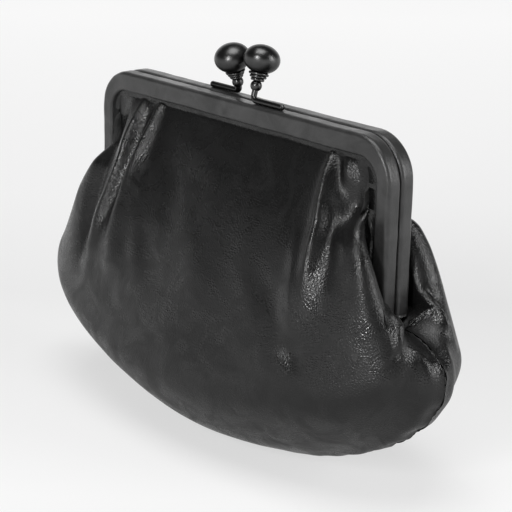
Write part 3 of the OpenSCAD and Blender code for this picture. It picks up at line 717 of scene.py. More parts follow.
# %% Right group of the front panel
right_group = [
    # right group: a sharp ridge and the soft line that takes over from it
    [(0.393, 0.0, 1.4, 1.1, 1.0), (0.399, 0.13, 2.8, 1.7, 1.3), (0.403, 0.23, 3.8, 2.3, 1.6),
     (0.406, 0.35, 4.2, 3.0, 1.9), (0.409, 0.45, 4.0, 3.8, 2.3), (0.405, 0.53, 3.4, 4.6, 3.0),
     (0.399, 0.60, 2.4, 5.6, 4.4), (0.392, 0.70, 0.8, 7.0, 6.0), (0.39, 0.78, 0.0, 8.0, 8.0)],
    [(0.338, 0.44, 0.0, 3.0, 2.0), (0.354, 0.54, 1.0, 3.4, 2.2), (0.360, 0.60, 1.6, 3.4, 2.6),
     (0.366, 0.66, 1.6, 3.8, 3.0), (0.376, 0.71, 1.0, 4.0, 3.4), (0.388, 0.77, 0.0, 5.0, 4.0)],
    [(0.366, 0.745, 0.0, 4.0, 4.0), (0.380, 0.79, -1.3, 4.6, 4.2), (0.392, 0.825, -1.1, 4.6, 4.2),
     (0.404, 0.87, 0.0, 5.0, 5.0)],
    # a thin ridge beside it and the valleys on both sides of that ridge
    [(0.403, 0.18, 0.0, 1.4, 1.4), (0.415, 0.27, 1.2, 1.5, 1.6), (0.448, 0.36, 2.0, 1.8, 2.0),
     (0.488, 0.43, 1.8, 2.4, 2.6), (0.520, 0.51, 1.0, 3.6, 3.6), (0.550, 0.60, 0.0, 5.0, 5.0)],
    [(0.420, 0.20, 0.0, 1.6, 1.6), (0.424, 0.32, -1.4, 1.8, 1.6), (0.437, 0.42, -1.8, 2.4, 2.2),
     (0.452, 0.52, -1.2, 4.0, 3.6), (0.47, 0.62, 0.0, 6.0, 5.0)],
    [(0.426, 0.12, -0.6, 1.6, 1.6), (0.440, 0.23, -2.0, 2.0, 2.0), (0.470, 0.34, -3.2, 2.6, 2.6),
     (0.512, 0.43, -3.2, 3.4, 3.2), (0.566, 0.51, -2.6, 4.6, 4.0), (0.632, 0.60, -1.6, 6.0, 5.0),
     (0.70, 0.70, 0.0, 7.0, 6.0)],
]
print(len(right_group), "folds in the right group")

# %% Roll at the arm and swells of the middle
corner_roll = [
    # the broad roll that passes over the end of the arm
    [(0.448, 0.10, 0.8, 2.2, 2.4), (0.464, 0.20, 2.6, 3.0, 3.2), (0.494, 0.29, 4.2, 4.0, 4.0),
     (0.538, 0.38, 5.2, 4.8, 4.6), (0.594, 0.46, 5.6, 5.4, 5.2), (0.665, 0.53, 5.4, 6.0, 5.6),
     (0.745, 0.59, 4.6, 6.8, 6.0), (0.815, 0.68, 3.4, 7.4, 6.6), (0.868, 0.86, 1.8, 8.0, 7.4),
     (0.900, 1.15, 0.6, 8.0, 7.4), (0.89, 1.60, 0.0, 9.0, 9.0)],
]
soft_swells = [
    # soft swells and dents of the middle
    [(0.190, 0.50, 0.0, 8.0, 6.0), (0.215, 0.60, 0.5, 8.0, 5.0), (0.262, 0.70, 0.7, 8.0, 5.0),
     (0.31, 0.80, 0.3, 9.0, 8.0), (0.34, 0.9, 0.0, 9.0, 9.0)],
    [(0.265, 0.54, 0.0, 6.0, 8.0), (0.300, 0.64, -0.5, 7.0, 8.0), (0.335, 0.74, -0.6, 7.0, 6.0),
     (0.36, 0.84, 0.0, 7.0, 7.0)],
    [(-0.15, 0.30, 0.0, 9.0, 9.0), (-0.14, 0.45, -1.0, 9.0, 9.0), (-0.10, 0.62, 0.0, 12.0, 12.0)],
    [(0.02, 0.55, 0.0, 9.0, 9.0), (0.08, 0.66, 0.8, 8.0, 8.0), (0.12, 0.80, 0.0, 12.0, 12.0)],
]
front_folds = left_group + right_group + corner_roll + soft_swells
print(len(front_folds), "folds on the front panel")

# %% [markdown]
# ## The back panel's folds
# The back is gathered in the same way. Its folds are the front's, mirrored and shifted by small fixed
# amounts, so that the two sides are plainly the same work but not copies. Past the corners its folds are
# nearly flat, because the photograph shows a smooth edge there, with a fold that crumples behind the arm.

# %% Folds of the back panel
BACK_CORNER, BACK_EASE = 0.5, 0.12
chance = np.random.default_rng(7)
back_folds = []
for spots in front_folds:
    slide = chance.uniform(-0.012, 0.012)
    stretch = chance.uniform(0.94, 1.06)
    lift = chance.uniform(0.8, 1.05)
    turned_spots = []
    for side, level, rise, wide_left, wide_right in spots:
        rise *= lift * (BACK_EASE if abs(side) > BACK_CORNER else 1.0)
        turned_spots.append((-side + slide, level * stretch, rise, wide_right, wide_left))
    back_folds.append(turned_spots)
back_folds += [
    [(-0.70, 0.20, 0.0, 4.0, 4.0), (-0.74, 0.34, 1.4, 4.0, 4.0), (-0.78, 0.48, 1.8, 5.0, 5.0),
     (-0.82, 0.66, 1.0, 6.0, 6.0), (-0.84, 0.8, 0.0, 7.0, 7.0)],
    [(-0.86, 0.62, 0.0, 4.0, 4.0), (-0.82, 0.60, -0.9, 4.0, 4.0), (-0.77, 0.56, 0.0, 5.0, 5.0)],
]
print(len(back_folds), "folds on the back panel")

# %% [markdown]
# ## Wrinkles
# Between the folds, leather wrinkles by itself, most where it is gathered: in the window's corners and under
# the hinge. A smooth noise in three dimensions, made here from random waves, gives them. Waves can be
# stretched along the direction in which the panel is pulled, so that wrinkles run down from the frame.


# %% Wrinkle helper
def waves(points, lengths, seed, count=14, stretch=(1.0, 1.0, 1.0)):
    source = np.random.default_rng(seed)
    total = np.zeros(points.shape[:-1])
    for _ in range(count):
        way = source.normal(size=3)
        way *= np.array(stretch) / np.linalg.norm(way)
        size = source.uniform(*lengths)
        total += np.sin(points @ (way * 2 * math.pi / size) + source.uniform(0.0, 2 * math.pi))
    return total / math.sqrt(count)


def hump(value, centre, spread):
    """1 at the centre, falling smoothly to nothing on both sides."""
    return np.exp(-(((value - centre) / spread) ** 2))


def ridged(points, lengths, seed, stretch=(1.0, 1.0, 1.0)):
    """Thin lines where the waves cross zero, bent a little by wider waves."""
    bend = np.stack([waves(points, (14.0, 30.0), seed + k, 6) for k in (1, 2, 3)], -1)
    return 1.0 - np.minimum(1.0, np.abs(waves(points + 1.6 * bend, lengths, seed, 10, stretch)) * 1.3)


print("wrinkle helpers ready")

# %% [markdown]
# ## Pressing folds and wrinkles into a panel
# The heights of all folds are added up, then wrinkles are added where the leather is gathered. Near the
# window everything fades to nothing, because the edge is clamped in the channel, and near the seam the
# leather is pulled in and puckered by the stitches. The sum moves each point along the panel's normal.


# %% Wrinkles of one panel
GATHERED, WINDOW_CORNER, EAR = (0.47, 0.13, 0.35, 0.5), (0.60, 0.10, 0.22, 0.25), (0.78, 0.16)
GATHERED_RISE, CORNER_RISE, EAR_RISE, SWELL_RISE, FINE_RISE = 0.12, 0.2, 0.1, 0.35, 0.05


def patch(place, spread, fade_from, fade_over):
    """One round a place along the window, fading on the way down."""
    return hump(along, place, spread) * (1.0 - ease((down - fade_from) / fade_over))


def add_wrinkles(height, seed):
    gathered, corner = patch(*GATHERED), patch(*WINDOW_CORNER)
    ear = ease((along - EAR[0]) / EAR[1])
    height += GATHERED_RISE * gathered * (ridged(base, (9.0, 22.0), seed, (1.6, 1.0, 0.5)) - 0.45)
    height += CORNER_RISE * corner * (ridged(base, (6.0, 13.0), seed + 20, (1.0, 1.0, 0.8)) - 0.5)
    height += EAR_RISE * ear * (ridged(base, (8.0, 18.0), seed + 40, (0.8, 1.2, 1.2)) - 0.5)
    height += SWELL_RISE * waves(base, (28.0, 60.0), seed + 60)
    height += FINE_RISE * waves(base, (7.0, 14.0), seed + 80, 18)


print("wrinkles are up to", max(GATHERED_RISE, CORNER_RISE, EAR_RISE), "mm high, swells", SWELL_RISE, "mm")


# %% Heights of one panel
PUCKER_PITCH, PUCKER_DRIFT, PUCKER_DEPTH, LIP, LIP_PLACE = 11.0, 17.0, 0.5, 1.1, 5.5


def held_at_edges(height):
    """Clamps the heights at the window, and puckers them and raises a lip beside the seam."""
    to_seam = np.linalg.norm(base - on_panel(side_of, np.full_like(down, 2.0)), axis=-1)
    run = run_along(base[:, -1])[:, None]
    height = height * ease((down + 0.02) / 0.08) * (1.0 - 0.85 * hump(to_seam, 0.0, 7.0))
    sewn = 1.0 - ease((along - 0.86) / 0.1)
    wave = np.sin(run * 2 * math.pi / PUCKER_PITCH + 1.5 * np.sin(run / PUCKER_DRIFT))
    height += sewn * hump(to_seam, 0.0, 5.0) * (PUCKER_DEPTH * wave - 0.3)
    height += sewn * LIP * hump(to_seam, LIP_PLACE, 3.2) * ease((along - 0.05) / 0.2)
    return height


def panel_heights(folds, seed):
    height = np.zeros(base.shape[:2])
    for spots in folds:
        fold(height, spots)
    height = smoothed(height, 5)
    add_wrinkles(height, seed)
    return held_at_edges(height)


front_heights = panel_heights(front_folds, 11)
back_heights = panel_heights(back_folds, 53)
print("front heights from", front_heights.min().round(1), "to", front_heights.max().round(1), "mm")

# %% [markdown]
# ## From heights to leather
# The outside is the grid moved by its heights and pressed flat on the floor. The inside is the outside
# moved inward by the leather's thickness. Under each rivet the two panels roll in and meet. Where the leather
# crosses an arm, every layer stays in front of it, so that the frame can turn without cutting through.


# %% Shaping helpers of a layer
TUCK, ROLL = 10, 2.6
MEET_X, MEET_Y, MEET_Z, KEEP_X, KEEP_Z = 77.6, -0.4, 57.3, 0.25, 0.12
ARM_SIDE, ARM_SIDE_FADE, ARM_AIR = 67.2, 1.8, 0.2
EVEN_OUT = 8


def rest_on_floor(level, soft=0.9):
    """Lifts what would sink below the floor up to it, without leaving an edge."""
    lift = 0.5 * (math.sqrt(BASE_PRESS ** 2 + soft ** 2) - BASE_PRESS)
    return 0.5 * (level + np.sqrt(level * level + soft * soft)) - lift


def tucked(points, level):
    """Adds columns at each end that roll in under the hinge and meet the other panel there."""
    made = []
    for edge, before in ((points[0], points[3]), (points[-1], points[-4])):
        ahead = edge - before
        ahead /= np.maximum(1e-9, np.linalg.norm(ahead, axis=-1, keepdims=True))
        share = ease((level - 0.3) / 0.4)[:, None]
        way = np.sign(edge[:, :1].mean())
        meet_x = way * (MEET_X + KEEP_X * (np.abs(edge[:, 0]) - MEET_X))
        meet_z = MEET_Z + KEEP_Z * (edge[:, 2] - MEET_Z)
        goal = edge + share * (np.stack([meet_x, np.full(ROWS, MEET_Y), meet_z], -1) - edge)
        guide = edge + share * ahead * ROLL
        steps = np.linspace(0.0, 1.0, TUCK + 1)[1:]
        made.append([(1 - t) ** 2 * edge + 2 * t * (1 - t) * guide + t * t * goal for t in steps])
    return np.concatenate([np.array(made[0][::-1]), points, np.array(made[1])])


def widened(values):
    return np.concatenate([np.repeat(values[:1], TUCK, axis=0), values, np.repeat(values[-1:], TUCK, axis=0)])


def outward(outer, level):
    """The direction across the leather: straight to the front at the window, sideways at the seam."""
    out = facing(outer)
    at_window = (1.0 - ease(level / 0.2))[..., None]
    out = out * (1.0 - at_window) + np.array([0.0, -1.0, 0.0]) * at_window
    at_seam = (1.0 - ease((2.0 - level) / 0.25))[..., None]
    out = out * (1.0 - at_seam) + (out * np.array([1.0, 0.0, 1.0])) * at_seam
    return out / np.maximum(1e-9, np.linalg.norm(out, axis=-1, keepdims=True))


def clear_of_arms(made, level, depth):
    """Keeps a layer in front of the arm where it crosses it, and evens out the bend that this makes."""
    made[..., 1] = np.minimum(made[..., 1], -SEAM_GAP)
    over_arm = ease((np.abs(made[..., 0]) - ARM_SIDE) / ARM_SIDE_FADE)
    over_arm = over_arm * ease((made[..., 2] - ARM_END + 2.0) / 3.0)
    over_arm *= 1.0 - ease((level - 0.9) / 0.3)
    before_arm = -(FAR + ARM_AIR + LINING_IN - depth)
    made[..., 1] += over_arm * (np.minimum(made[..., 1], before_arm) - made[..., 1])
    made[:, 2:] = smoothed(made, EVEN_OUT)[:, 2:]
    return made


print("shaping helpers ready")

# %% [markdown]
# ## The layers of a panel
# Three more rows at the top of every layer run up into the frame's channel, where the cord holds them.


# %% Layers of a panel
TAB_ROWS = (3.4, 1.8, 0.6)
FLOOR_ZONE = 12.0


def layer(heights, depth):
    outer = tucked(base + normal * heights[..., None], down[0])
    level, side = widened(down), widened(side_of)[:, 0]
    made = clear_of_arms(outer - outward(outer, level) * depth, level, depth)
    pressed = depth + rest_on_floor(made[..., 2] - depth)
    made[..., 2] = np.where(made[..., 2] < FLOOR_ZONE, pressed, made[..., 2])
    tabs = []
    for reach in TAB_ROWS:
        tab = window_line(np.abs(side), reach)
        tab[:, 0] *= np.sign(side)
        tab[:, 1] = -(RIM_Y - depth)
        tabs.append(tab[:, None, :])
    return np.concatenate(tabs + [made], axis=1)


def to_back(points):
    return points * np.array([-1.0, -1.0, 1.0])


front_skin, front_under = layer(front_heights, 0.0), layer(front_heights, LEATHER)
back_skin, back_under = to_back(layer(back_heights, 0.0)), to_back(layer(back_heights, LEATHER))
front_panel = sheet_object("front_leather", front_skin, front_under, pouch_leather, True)
back_panel = sheet_object("back_leather", back_skin, back_under, pouch_leather, True)
print("front leather from", front_skin.min((0, 1)).round(1).tolist())
print("to", front_skin.max((0, 1)).round(1).tolist())

# %% [markdown]
# ## Lining
# The lining hangs inside the leather with a little air between them. A thin cloth bridges the ridges of the
# leather and only gives way at its valleys, so it gets the heights below nothing and a coarser grid.

# %% Lining of both sides
skip = (slice(None, None, 2), slice(None, None, 2))


def lining(name, heights, turned):
    soft = np.minimum(heights, 0.0)
    outer, inner = layer(soft, LINING_OUT)[skip], layer(soft, LINING_IN)[skip]
    if turned:
        outer, inner = to_back(outer), to_back(inner)
    return sheet_object(name, outer, inner, lining_cloth, True)


front_lining = lining("front_lining", front_heights, False)
back_lining = lining("back_lining", back_heights, True)
print("lining faces:", len(front_lining.data.polygons) + len(back_lining.data.polygons))

# %% [markdown]
# ## The panels in place
# The panels and linings are baked where they lie, and the CAD model's leather and lining pieces are hidden.

# %% Bake the panels and hide the CAD leather
for piece, half in (
    (front_panel, "front_half"),
    (front_lining, "front_half"),
    (back_panel, "rear_half"),
    (back_lining, "rear_half"),
):
    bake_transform(piece)
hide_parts("front_leather_upper", "front_leather_pouch")
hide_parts("rear_leather_upper", "rear_leather_pouch")
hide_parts("front_lining_upper", "front_lining_pouch")
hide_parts("rear_lining_upper", "rear_lining_pouch")

# %% [markdown]
# ## The wrapped frame
# Each half of the frame is a steel channel covered in thin leather, with soft rounded edges.
# One section is carried along the arch: up an arm, round the corner, along the top and down again.
# The section is rounder than the CAD solid's, with many more steps, and has the same outside size.


# %% Arch of the frame
CORNER_STEPS, RAIL_STEPS, ARM_STEPS = 22, 90, 40


def arch_line(x, z, r, low):
    """An arch of half width x, height z and corner radius r, from its left foot to its right foot."""
    corner_turn = np.radians(np.linspace(180, 90, CORNER_STEPS))
    left = [(-(x - r) + r * math.cos(a), z - r + r * math.sin(a)) for a in corner_turn]
    rail = [(t, z) for t in np.linspace(-(x - r), x - r, RAIL_STEPS)[1:-1]]
    right = [(-px, pz) for px, pz in left[::-1]]
    arm = np.linspace(low, z - r, ARM_STEPS)[:-1]
    return np.array([(-x, t) for t in arm] + left + rail + right + [(x, t) for t in arm[::-1]])


def arch(inset, corner, low):
    return arch_line(HALF_WIDTH - inset, FRAME_TOP - inset, corner, low)


outer_arch = arch(0.0, CORNER, ARM_END)
window_arch = arch_line(HALF_WIDTH - ARM_RAIL, FRAME_TOP - TOP_RAIL, CORNER - TOP_RAIL, ARM_END)
print("arch points:", len(outer_arch), "outside and", len(window_arch), "at the window")

# %% [markdown]
# ## The section of the wrap
# The section is a list of places: how far each one lies from the outer or the window's edge, and how deep
# below the face. Both long edges are rounded with quarter circles. The inside of the wrap is the same
# section, kept at least the leather's thickness away from the outside.

# %% Wrap of one half
OUT_R, IN_R, EDGE_STEPS, FACE_STEPS, SIDE_STEPS = 1.5, 1.13, 8, 10, 6
FROM_OUTSIDE, FROM_WINDOW, SHARE_OF_FACE = 0, 1, 2


def wrap_section():
    quarter = np.radians(np.linspace(0, 90, EDGE_STEPS))
    out_edge = [(FROM_OUTSIDE, OUT_R * (1 - math.cos(a)), OUT_R * (1 - math.sin(a))) for a in quarter[::-1]]
    in_edge = [(FROM_WINDOW, IN_R * (1 - math.cos(a)), IN_R * (1 - math.sin(a))) for a in quarter]
    face = [(SHARE_OF_FACE, t, 0.0) for t in np.linspace(0.0, 1.0, FACE_STEPS)[1:-1]]
    return in_edge + face[::-1] + out_edge


def carried(section, inside):
    """The whole loop: the near face, the outer side and the far face, as edge, inset and depth."""
    least = WRAP if inside else 0.0
    made = [(edge, max(inset, least), max(depth, least)) for edge, inset, depth in section]
    near = [(edge, inset, NEAR + depth) for edge, inset, depth in made]
    far = [(edge, inset, FAR - depth) for edge, inset, depth in made[::-1]]
    side = np.linspace(NEAR + OUT_R, FAR - OUT_R, SIDE_STEPS)[1:-1]
    return near + [(FROM_OUTSIDE, made[-1][1], t) for t in side] + far


def wrap_surface(inside):
    section = carried(wrap_section(), inside)
    span = window_arch - outer_arch
    unit = span / np.linalg.norm(span, axis=1, keepdims=True)
    width = np.linalg.norm(span, axis=1, keepdims=True)
    rows = []
    for edge, inset, depth in section:
        if edge == FROM_OUTSIDE:
            spot = outer_arch + unit * inset
        elif edge == FROM_WINDOW:
            spot = window_arch - unit * inset
        else:
            spot = outer_arch + unit * (OUT_R + (width - OUT_R - IN_R) * inset)
        rows.append(np.stack([spot[:, 0], np.full(len(spot), depth), spot[:, 1]], -1))
    return np.stack(rows, 1)


wrap_out, wrap_in = wrap_surface(False), wrap_surface(True)
print("wrap grid", wrap_out.shape[:2])

# %% [markdown]
# ## Leather that is not quite flat
# A hand wrapped frame is never dead straight: the leather has low swells where the glue pulled.
# They are a fraction of a millimetre high, only on the outside, and never past the frame's own size.

# %% Swells on the wrap
def soften(points, seed):
    out = facing(points)
    swell = 0.07 * waves(points, (9.0, 24.0), seed, 16) + 0.03 * waves(points, (4.0, 8.0), seed + 1, 16)
    return points - out * swell[..., None]


def wrap_piece(name, half, seed):
    outside = soften(wrap_out, seed)
    outside[..., 2] = np.minimum(outside[..., 2], FRAME_TOP)
    outside[..., 1] = np.clip(outside[..., 1], NEAR, FAR)
    inner = wrap_in.copy()
    if half == "front":
        outside[..., 1] *= -1
        inner[..., 1] *= -1
    piece = sheet_object(name, outside, inner, frame_leather, half == "front")
    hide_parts(half + "_frame_wrap")
    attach(piece, half + "_half")
    return piece


front_wrap = wrap_piece("front_wrap", "front", 3)
back_wrap = wrap_piece("back_wrap", "rear", 5)
print("wraps:", len(front_wrap.data.polygons), "and", len(back_wrap.data.polygons), "faces")

# %% [markdown]
# ## The clasp
# Each clasp is a bent rod, a small bead, a collar of three rings and a flattened ball. The rod's foot lies on
# the frame and its stem leans. The other pieces sit on the stem, so one set of directions places them all.

# %% Sizes of the clasp
CLASP_X, ROD, BEND, FOOT = 7.0, 2.1, 1.8, 15.0
BALL_D, BALL_H, BALL_UP, CROSS = 12.6, 10.0, {"front": 14.6, "rear": 13.1}, 0.6
COLLAR_D, COLLAR_H, RINGS, RING_STEP = 7.0, 3.0, 3, 0.55
BEAD_D, BEAD_CUT, SEAT, ROD_HOLE, IN_BALL = 4.0, math.radians(54), 0.5, 1.08, 2.0
FOOT_Y = (NEAR + FAR) / 2
FOOT_Z = FRAME_TOP + ROD / 2


def stem_frame(half):
    """The foot's corner, the directions along the foot and the stem, and the way up to the ball's middle."""
    side = 1 if half == "front" else -1
    rise = FRAME_TOP + BALL_UP[half] - FOOT_Z
    lean = math.atan((FOOT_Y + CROSS) / rise)
    reach = math.hypot(FOOT_Y + CROSS, rise)
    out = -1 if half == "front" else 1
    axis = np.array([0.0, -out * math.sin(lean), math.cos(lean)])
    foot = np.array([side * CLASP_X, out * FOOT_Y, FOOT_Z])
    along_foot = np.array([side, 0.0, 0.0])
    return foot, along_foot, axis, reach


for half in ("front", "rear"):
    print(half, "ball stands", round(stem_frame(half)[3], 1), "mm along its stem")

# %% [markdown]
# ## Turned pieces and the rod
# Bead, collar and ball are drawn as half a section and spun round the stem, which is how they are made on a
# lathe. The rod is a circle carried along its path: the foot with a rounded end, the bend and the stem.


# %% Lathe and rod helpers
def ring_round(centre, radius, first, second, steps):
    angle = np.linspace(0, 2 * math.pi, steps, endpoint=False)
    return centre + radius * (np.cos(angle)[:, None] * first + np.sin(angle)[:, None] * second)


def turned_piece(name, half, start, section, steps):
    foot, sideways, axis, _ = stem_frame(half)
    other = np.cross(axis, sideways)
    rings = []
    for radius, rise in section:
        ring = ring_round(foot + axis * (start + rise), radius, sideways, other, steps)
        rings.append(ring if sideways[0] > 0 else ring[::-1])
    return tube_object(name, rings, gunmetal)


def finish_clasp(piece, half, node_name):
    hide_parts(node_name)
    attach(piece, half + "_half")
    return piece


def rod_path(top):
    """Places along the foot and up the stem, with the direction of the rod and its size as a share."""
    quarter = np.radians(np.linspace(0, 90, 13))
    path = [(FOOT, 0.0, 0.0, 0.82), (FOOT - 0.15, 0.0, 0.0, 0.95), (FOOT - 0.4, 0.0, 0.0, 1.0)]
    path += [(t, 0.0, 0.0, 1.0) for t in np.linspace(FOOT - 1, BEND + 0.3, 12)]
    path += [(BEND * (1 - math.sin(a)), BEND * (1 - math.cos(a)), a, 1.0) for a in quarter]
    return path + [(0.0, t, math.pi / 2, 1.0) for t in np.linspace(BEND + 0.5, top, 16)]


def rod_piece(half):
    foot, sideways, axis, reach = stem_frame(half)
    other = np.cross(axis, sideways)
    rings = []
    for x, z, a, size in rod_path(reach - BALL_H / 2 + SEAT + IN_BALL):
        across_rod = sideways * math.sin(a) + axis * math.cos(a)
        ring = ring_round(foot + sideways * x + axis * z, size * ROD / 2, across_rod, other, 32)
        rings.append(ring[::-1] if sideways[0] > 0 else ring)
    return tube_object(half + "_clasp_rod", rings, gunmetal)


print("lathe and rod helpers ready")

# %% [markdown]
# ## Sections of bead, collar and ball
# Each section is a list of radius and height. The bead is a ball cut flat at both ends, the collar is three
# round rings that grow upward, and the ball is wider than it is high, with a flat seat for the collar.


# %% Sections of the turned pieces
def bead_section():
    rise = math.sin(BEAD_CUT)
    arc = np.linspace(-BEAD_CUT, BEAD_CUT, 17)
    dome = [(BEAD_D / 2 * math.cos(a), BEAD_D / 2 * (rise + math.sin(a))) for a in arc]
    return [(ROD_HOLE, 0.0)] + dome + [(ROD_HOLE, BEAD_D * rise)]


def collar_section():
    ring = COLLAR_H / RINGS
    rows = []
    for k in range(RINGS):
        girth = COLLAR_D / 2 - (RINGS - 1 - k) * RING_STEP
        for a in np.radians(np.linspace(-80, 80, 11)):
            rows.append((girth - ring / 2 + ring / 2 * math.cos(a), ring * (k + 0.5 + math.sin(a) / 2)))
    return [(ROD_HOLE, 0.0)] + rows + [(ROD_HOLE, COLLAR_H)]


def ball_section():
    seat = math.asin((-BALL_H / 2 + SEAT) / (BALL_H / 2))
    arc = np.linspace(seat, math.radians(89.5), 48)
    return [(BALL_D / 2 * math.cos(a), BALL_H / 2 * math.sin(a)) for a in arc]


print("sections of", len(bead_section()), len(collar_section()), "and", len(ball_section()), "points")

# %% Clasp pieces of both halves
for half in ("front", "rear"):
    reach = stem_frame(half)[3]
    collar_base = reach - BALL_H / 2 + SEAT - COLLAR_H
    bead_base = collar_base - BEAD_D * math.sin(BEAD_CUT)
    finish_clasp(rod_piece(half), half, half + "_clasp_stem")
    bead = turned_piece(half + "_bead", half, bead_base, bead_section(), 48)
    finish_clasp(bead, half, half + "_clasp_bead")
    collar = turned_piece(half + "_collar", half, collar_base, collar_section(), 72)
    finish_clasp(collar, half, half + "_clasp_collar")
    ball = turned_piece(half + "_ball", half, reach, ball_section(), 96)
    finish_clasp(ball, half, half + "_clasp_ball")
print("clasp pieces made")

# %% [markdown]
# ## Paper cord
# A twisted paper cord wedges the leather into the channel. It is a tube along the arch whose section has
# three lobes. They turn as the cord goes on, which makes the groove of the twist.


# %% Twisted paper cord
SLOT_SIDE, CORD_FIT, CORD_R = 1.13, 0.2, 0.75
STRANDS, TWIST, GROOVE, CORD_POINTS, CORD_SIDES = 3, 1.6, 0.07, 620, 20


def cord_piece(half):
    inset = SLOT_SIDE + CORD_FIT + CORD_R
    path = arch(inset, CORNER - inset, TAB_END)
    depth = (SLOT_NEAR + (RIM_Y - LINING_IN)) / 2
    run = run_along(path)
    even = np.linspace(0.0, run[-1], CORD_POINTS)
    path = np.stack([np.interp(even, run, path[:, 0]), np.interp(even, run, path[:, 1])], -1)
    ahead = np.gradient(path, axis=0)
    ahead /= np.linalg.norm(ahead, axis=1, keepdims=True)
    out = np.stack([-ahead[:, 1], np.zeros(len(path)), ahead[:, 0]], -1)
    y = -depth if half == "front" else depth
    centre = np.stack([path[:, 0], np.full(len(path), y), path[:, 1]], -1)
    angle = np.linspace(0, 2 * math.pi, CORD_SIDES, endpoint=False)
    rings = []
    for middle, side, length in zip(centre, out, even):
        lobes = np.abs(np.cos(STRANDS / 2 * angle - length * TWIST))
        radius = CORD_R * (1.0 - GROOVE + GROOVE * lobes)
        around = np.cos(angle)[:, None] * side + np.sin(angle)[:, None] * np.array([0, 1.0, 0])
        rings.append(middle + radius[:, None] * around)
    piece = tube_object(half + "_paper_twist", rings, paper_twist)
    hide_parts(half + "_paper_cord")
    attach(piece, half + "_half")
    return piece


paper_cords = [cord_piece(half) for half in ("front", "rear")]
print("paper cords:", [p.name for p in paper_cords])

# %% [markdown]
# ## Seam stitches
# The seam is closed by short stitches down in the groove between the two panels. Each one is a small tube
# that is thickest in its middle, dives into the groove at both ends and lies a little slanted.

# %% Line of the seam
PITCH, STITCH, THREAD, SINK, RISE, SLANT = 3.4, 2.7, 0.28, 0.75, 0.35, 0.08
STITCH_RINGS, STITCH_SIDES, ABOVE_FLOOR = 7, 8, 0.0003
POUCH_MIDDLE = np.array([0.0, 0.0, 60.0])
ACROSS_SEAM = np.array([0.0, 1.0, 0.0])
seam_side = np.linspace(-0.999, 0.999, 1500)
seam_points = on_panel(seam_side, np.full_like(seam_side, 2.0))
seam_points[:, 1] = 0.0
seam_run = run_along(seam_points)
print("seam", seam_run[-1].round(), "mm long")


# %% Stitches
def on_seam(length):
    return np.array([np.interp(length, seam_run, seam_points[:, k]) for k in range(3)])


def stitch_points(start):
    first, last = on_seam(start), on_seam(start + STITCH)
    ahead = (last - first) / np.linalg.norm(last - first)
    out = np.array([ahead[2], 0.0, -ahead[0]])
    inward = -out if (out @ (first - POUCH_MIDDLE)) > 0 else out
    points = []
    for t in np.linspace(0.0, 1.0, STITCH_RINGS):
        bulge = math.sin(math.pi * t)
        middle = first + (last - first) * t + inward * (SINK - RISE * bulge) + ACROSS_SEAM * SLANT * (t - 0.5)
        size = THREAD * (0.35 + 0.65 * min(1.0, 3.0 * bulge))
        points.append(ring_round(middle, size, inward, ACROSS_SEAM, STITCH_SIDES))
    return np.concatenate(points)


starts = np.arange(1.0, seam_run[-1] - STITCH, PITCH)
stitch_faces = []
for k in range(len(starts)):
    first = k * STITCH_RINGS * STITCH_SIDES
    last_ring = first + (STITCH_RINGS - 1) * STITCH_SIDES
    stitch_faces += grid_faces(STITCH_RINGS, STITCH_SIDES, first, False, True)
    stitch_faces.append([first + j for j in reversed(range(STITCH_SIDES))])
    stitch_faces.append([last_ring + j for j in range(STITCH_SIDES)])
all_points = np.concatenate([stitch_points(start) for start in starts])
stitches = mesh_object("seam_stitches", all_points, stitch_faces, thread_twist)
for vertex in stitches.data.vertices:
    vertex.co.z = max(vertex.co.z, ABOVE_FLOOR)
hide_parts("seam_thread")
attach(stitches, "pouch")
print("stitches:", len(starts))

# %% [markdown]
# ## The pieces that stay
# The steel channels and the rivets have the right shape in the CAD model already, so they keep it and
# only get a finish, through the material slot of each object.

# %% Materials on the CAD pieces
kept_finish = {
    "front_frame_channel": steel,
    "rear_frame_channel": steel,
    "left_hinge_rivet": gunmetal,
    "right_hinge_rivet": gunmetal,
}
for name, finish in kept_finish.items():
    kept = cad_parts[name]
    kept.data.materials.clear()
    kept.data.materials.append(finish)
print("kept CAD pieces:", len(kept_finish))

# %% [markdown]
# ## Floor and background
# The purse stands on a pale sweep that has no edge in the picture. The floor is a wide disc with a little
# light of its own, which the camera and glossy surfaces see. It is dimmest a little behind the purse and
# grows slowly paler from there towards the back. The lamps add a little to it and throw a soft shadow.

# %% Floor disc
FLOOR_RADII, FLOOR_SIDES = (1.0, 300.0, 900.0, 2000.0, 5000.0), 96
AWAY_X, AWAY_Y = -0.748, 0.664
round_floor = np.linspace(0, 2 * math.pi, FLOOR_SIDES, endpoint=False)
rings = np.array([[[r * math.cos(a), r * math.sin(a), 0.0] for a in round_floor] for r in FLOOR_RADII])
floor_material, tree, shader = new_material("pale sweep")
floor_faces = grid_faces(len(FLOOR_RADII), FLOOR_SIDES, 0, False, True) + [list(range(FLOOR_SIDES))]
floor = mesh_object("floor", rings, floor_faces, floor_material)
print("floor radius", FLOOR_RADII[-1] * MM, "m")

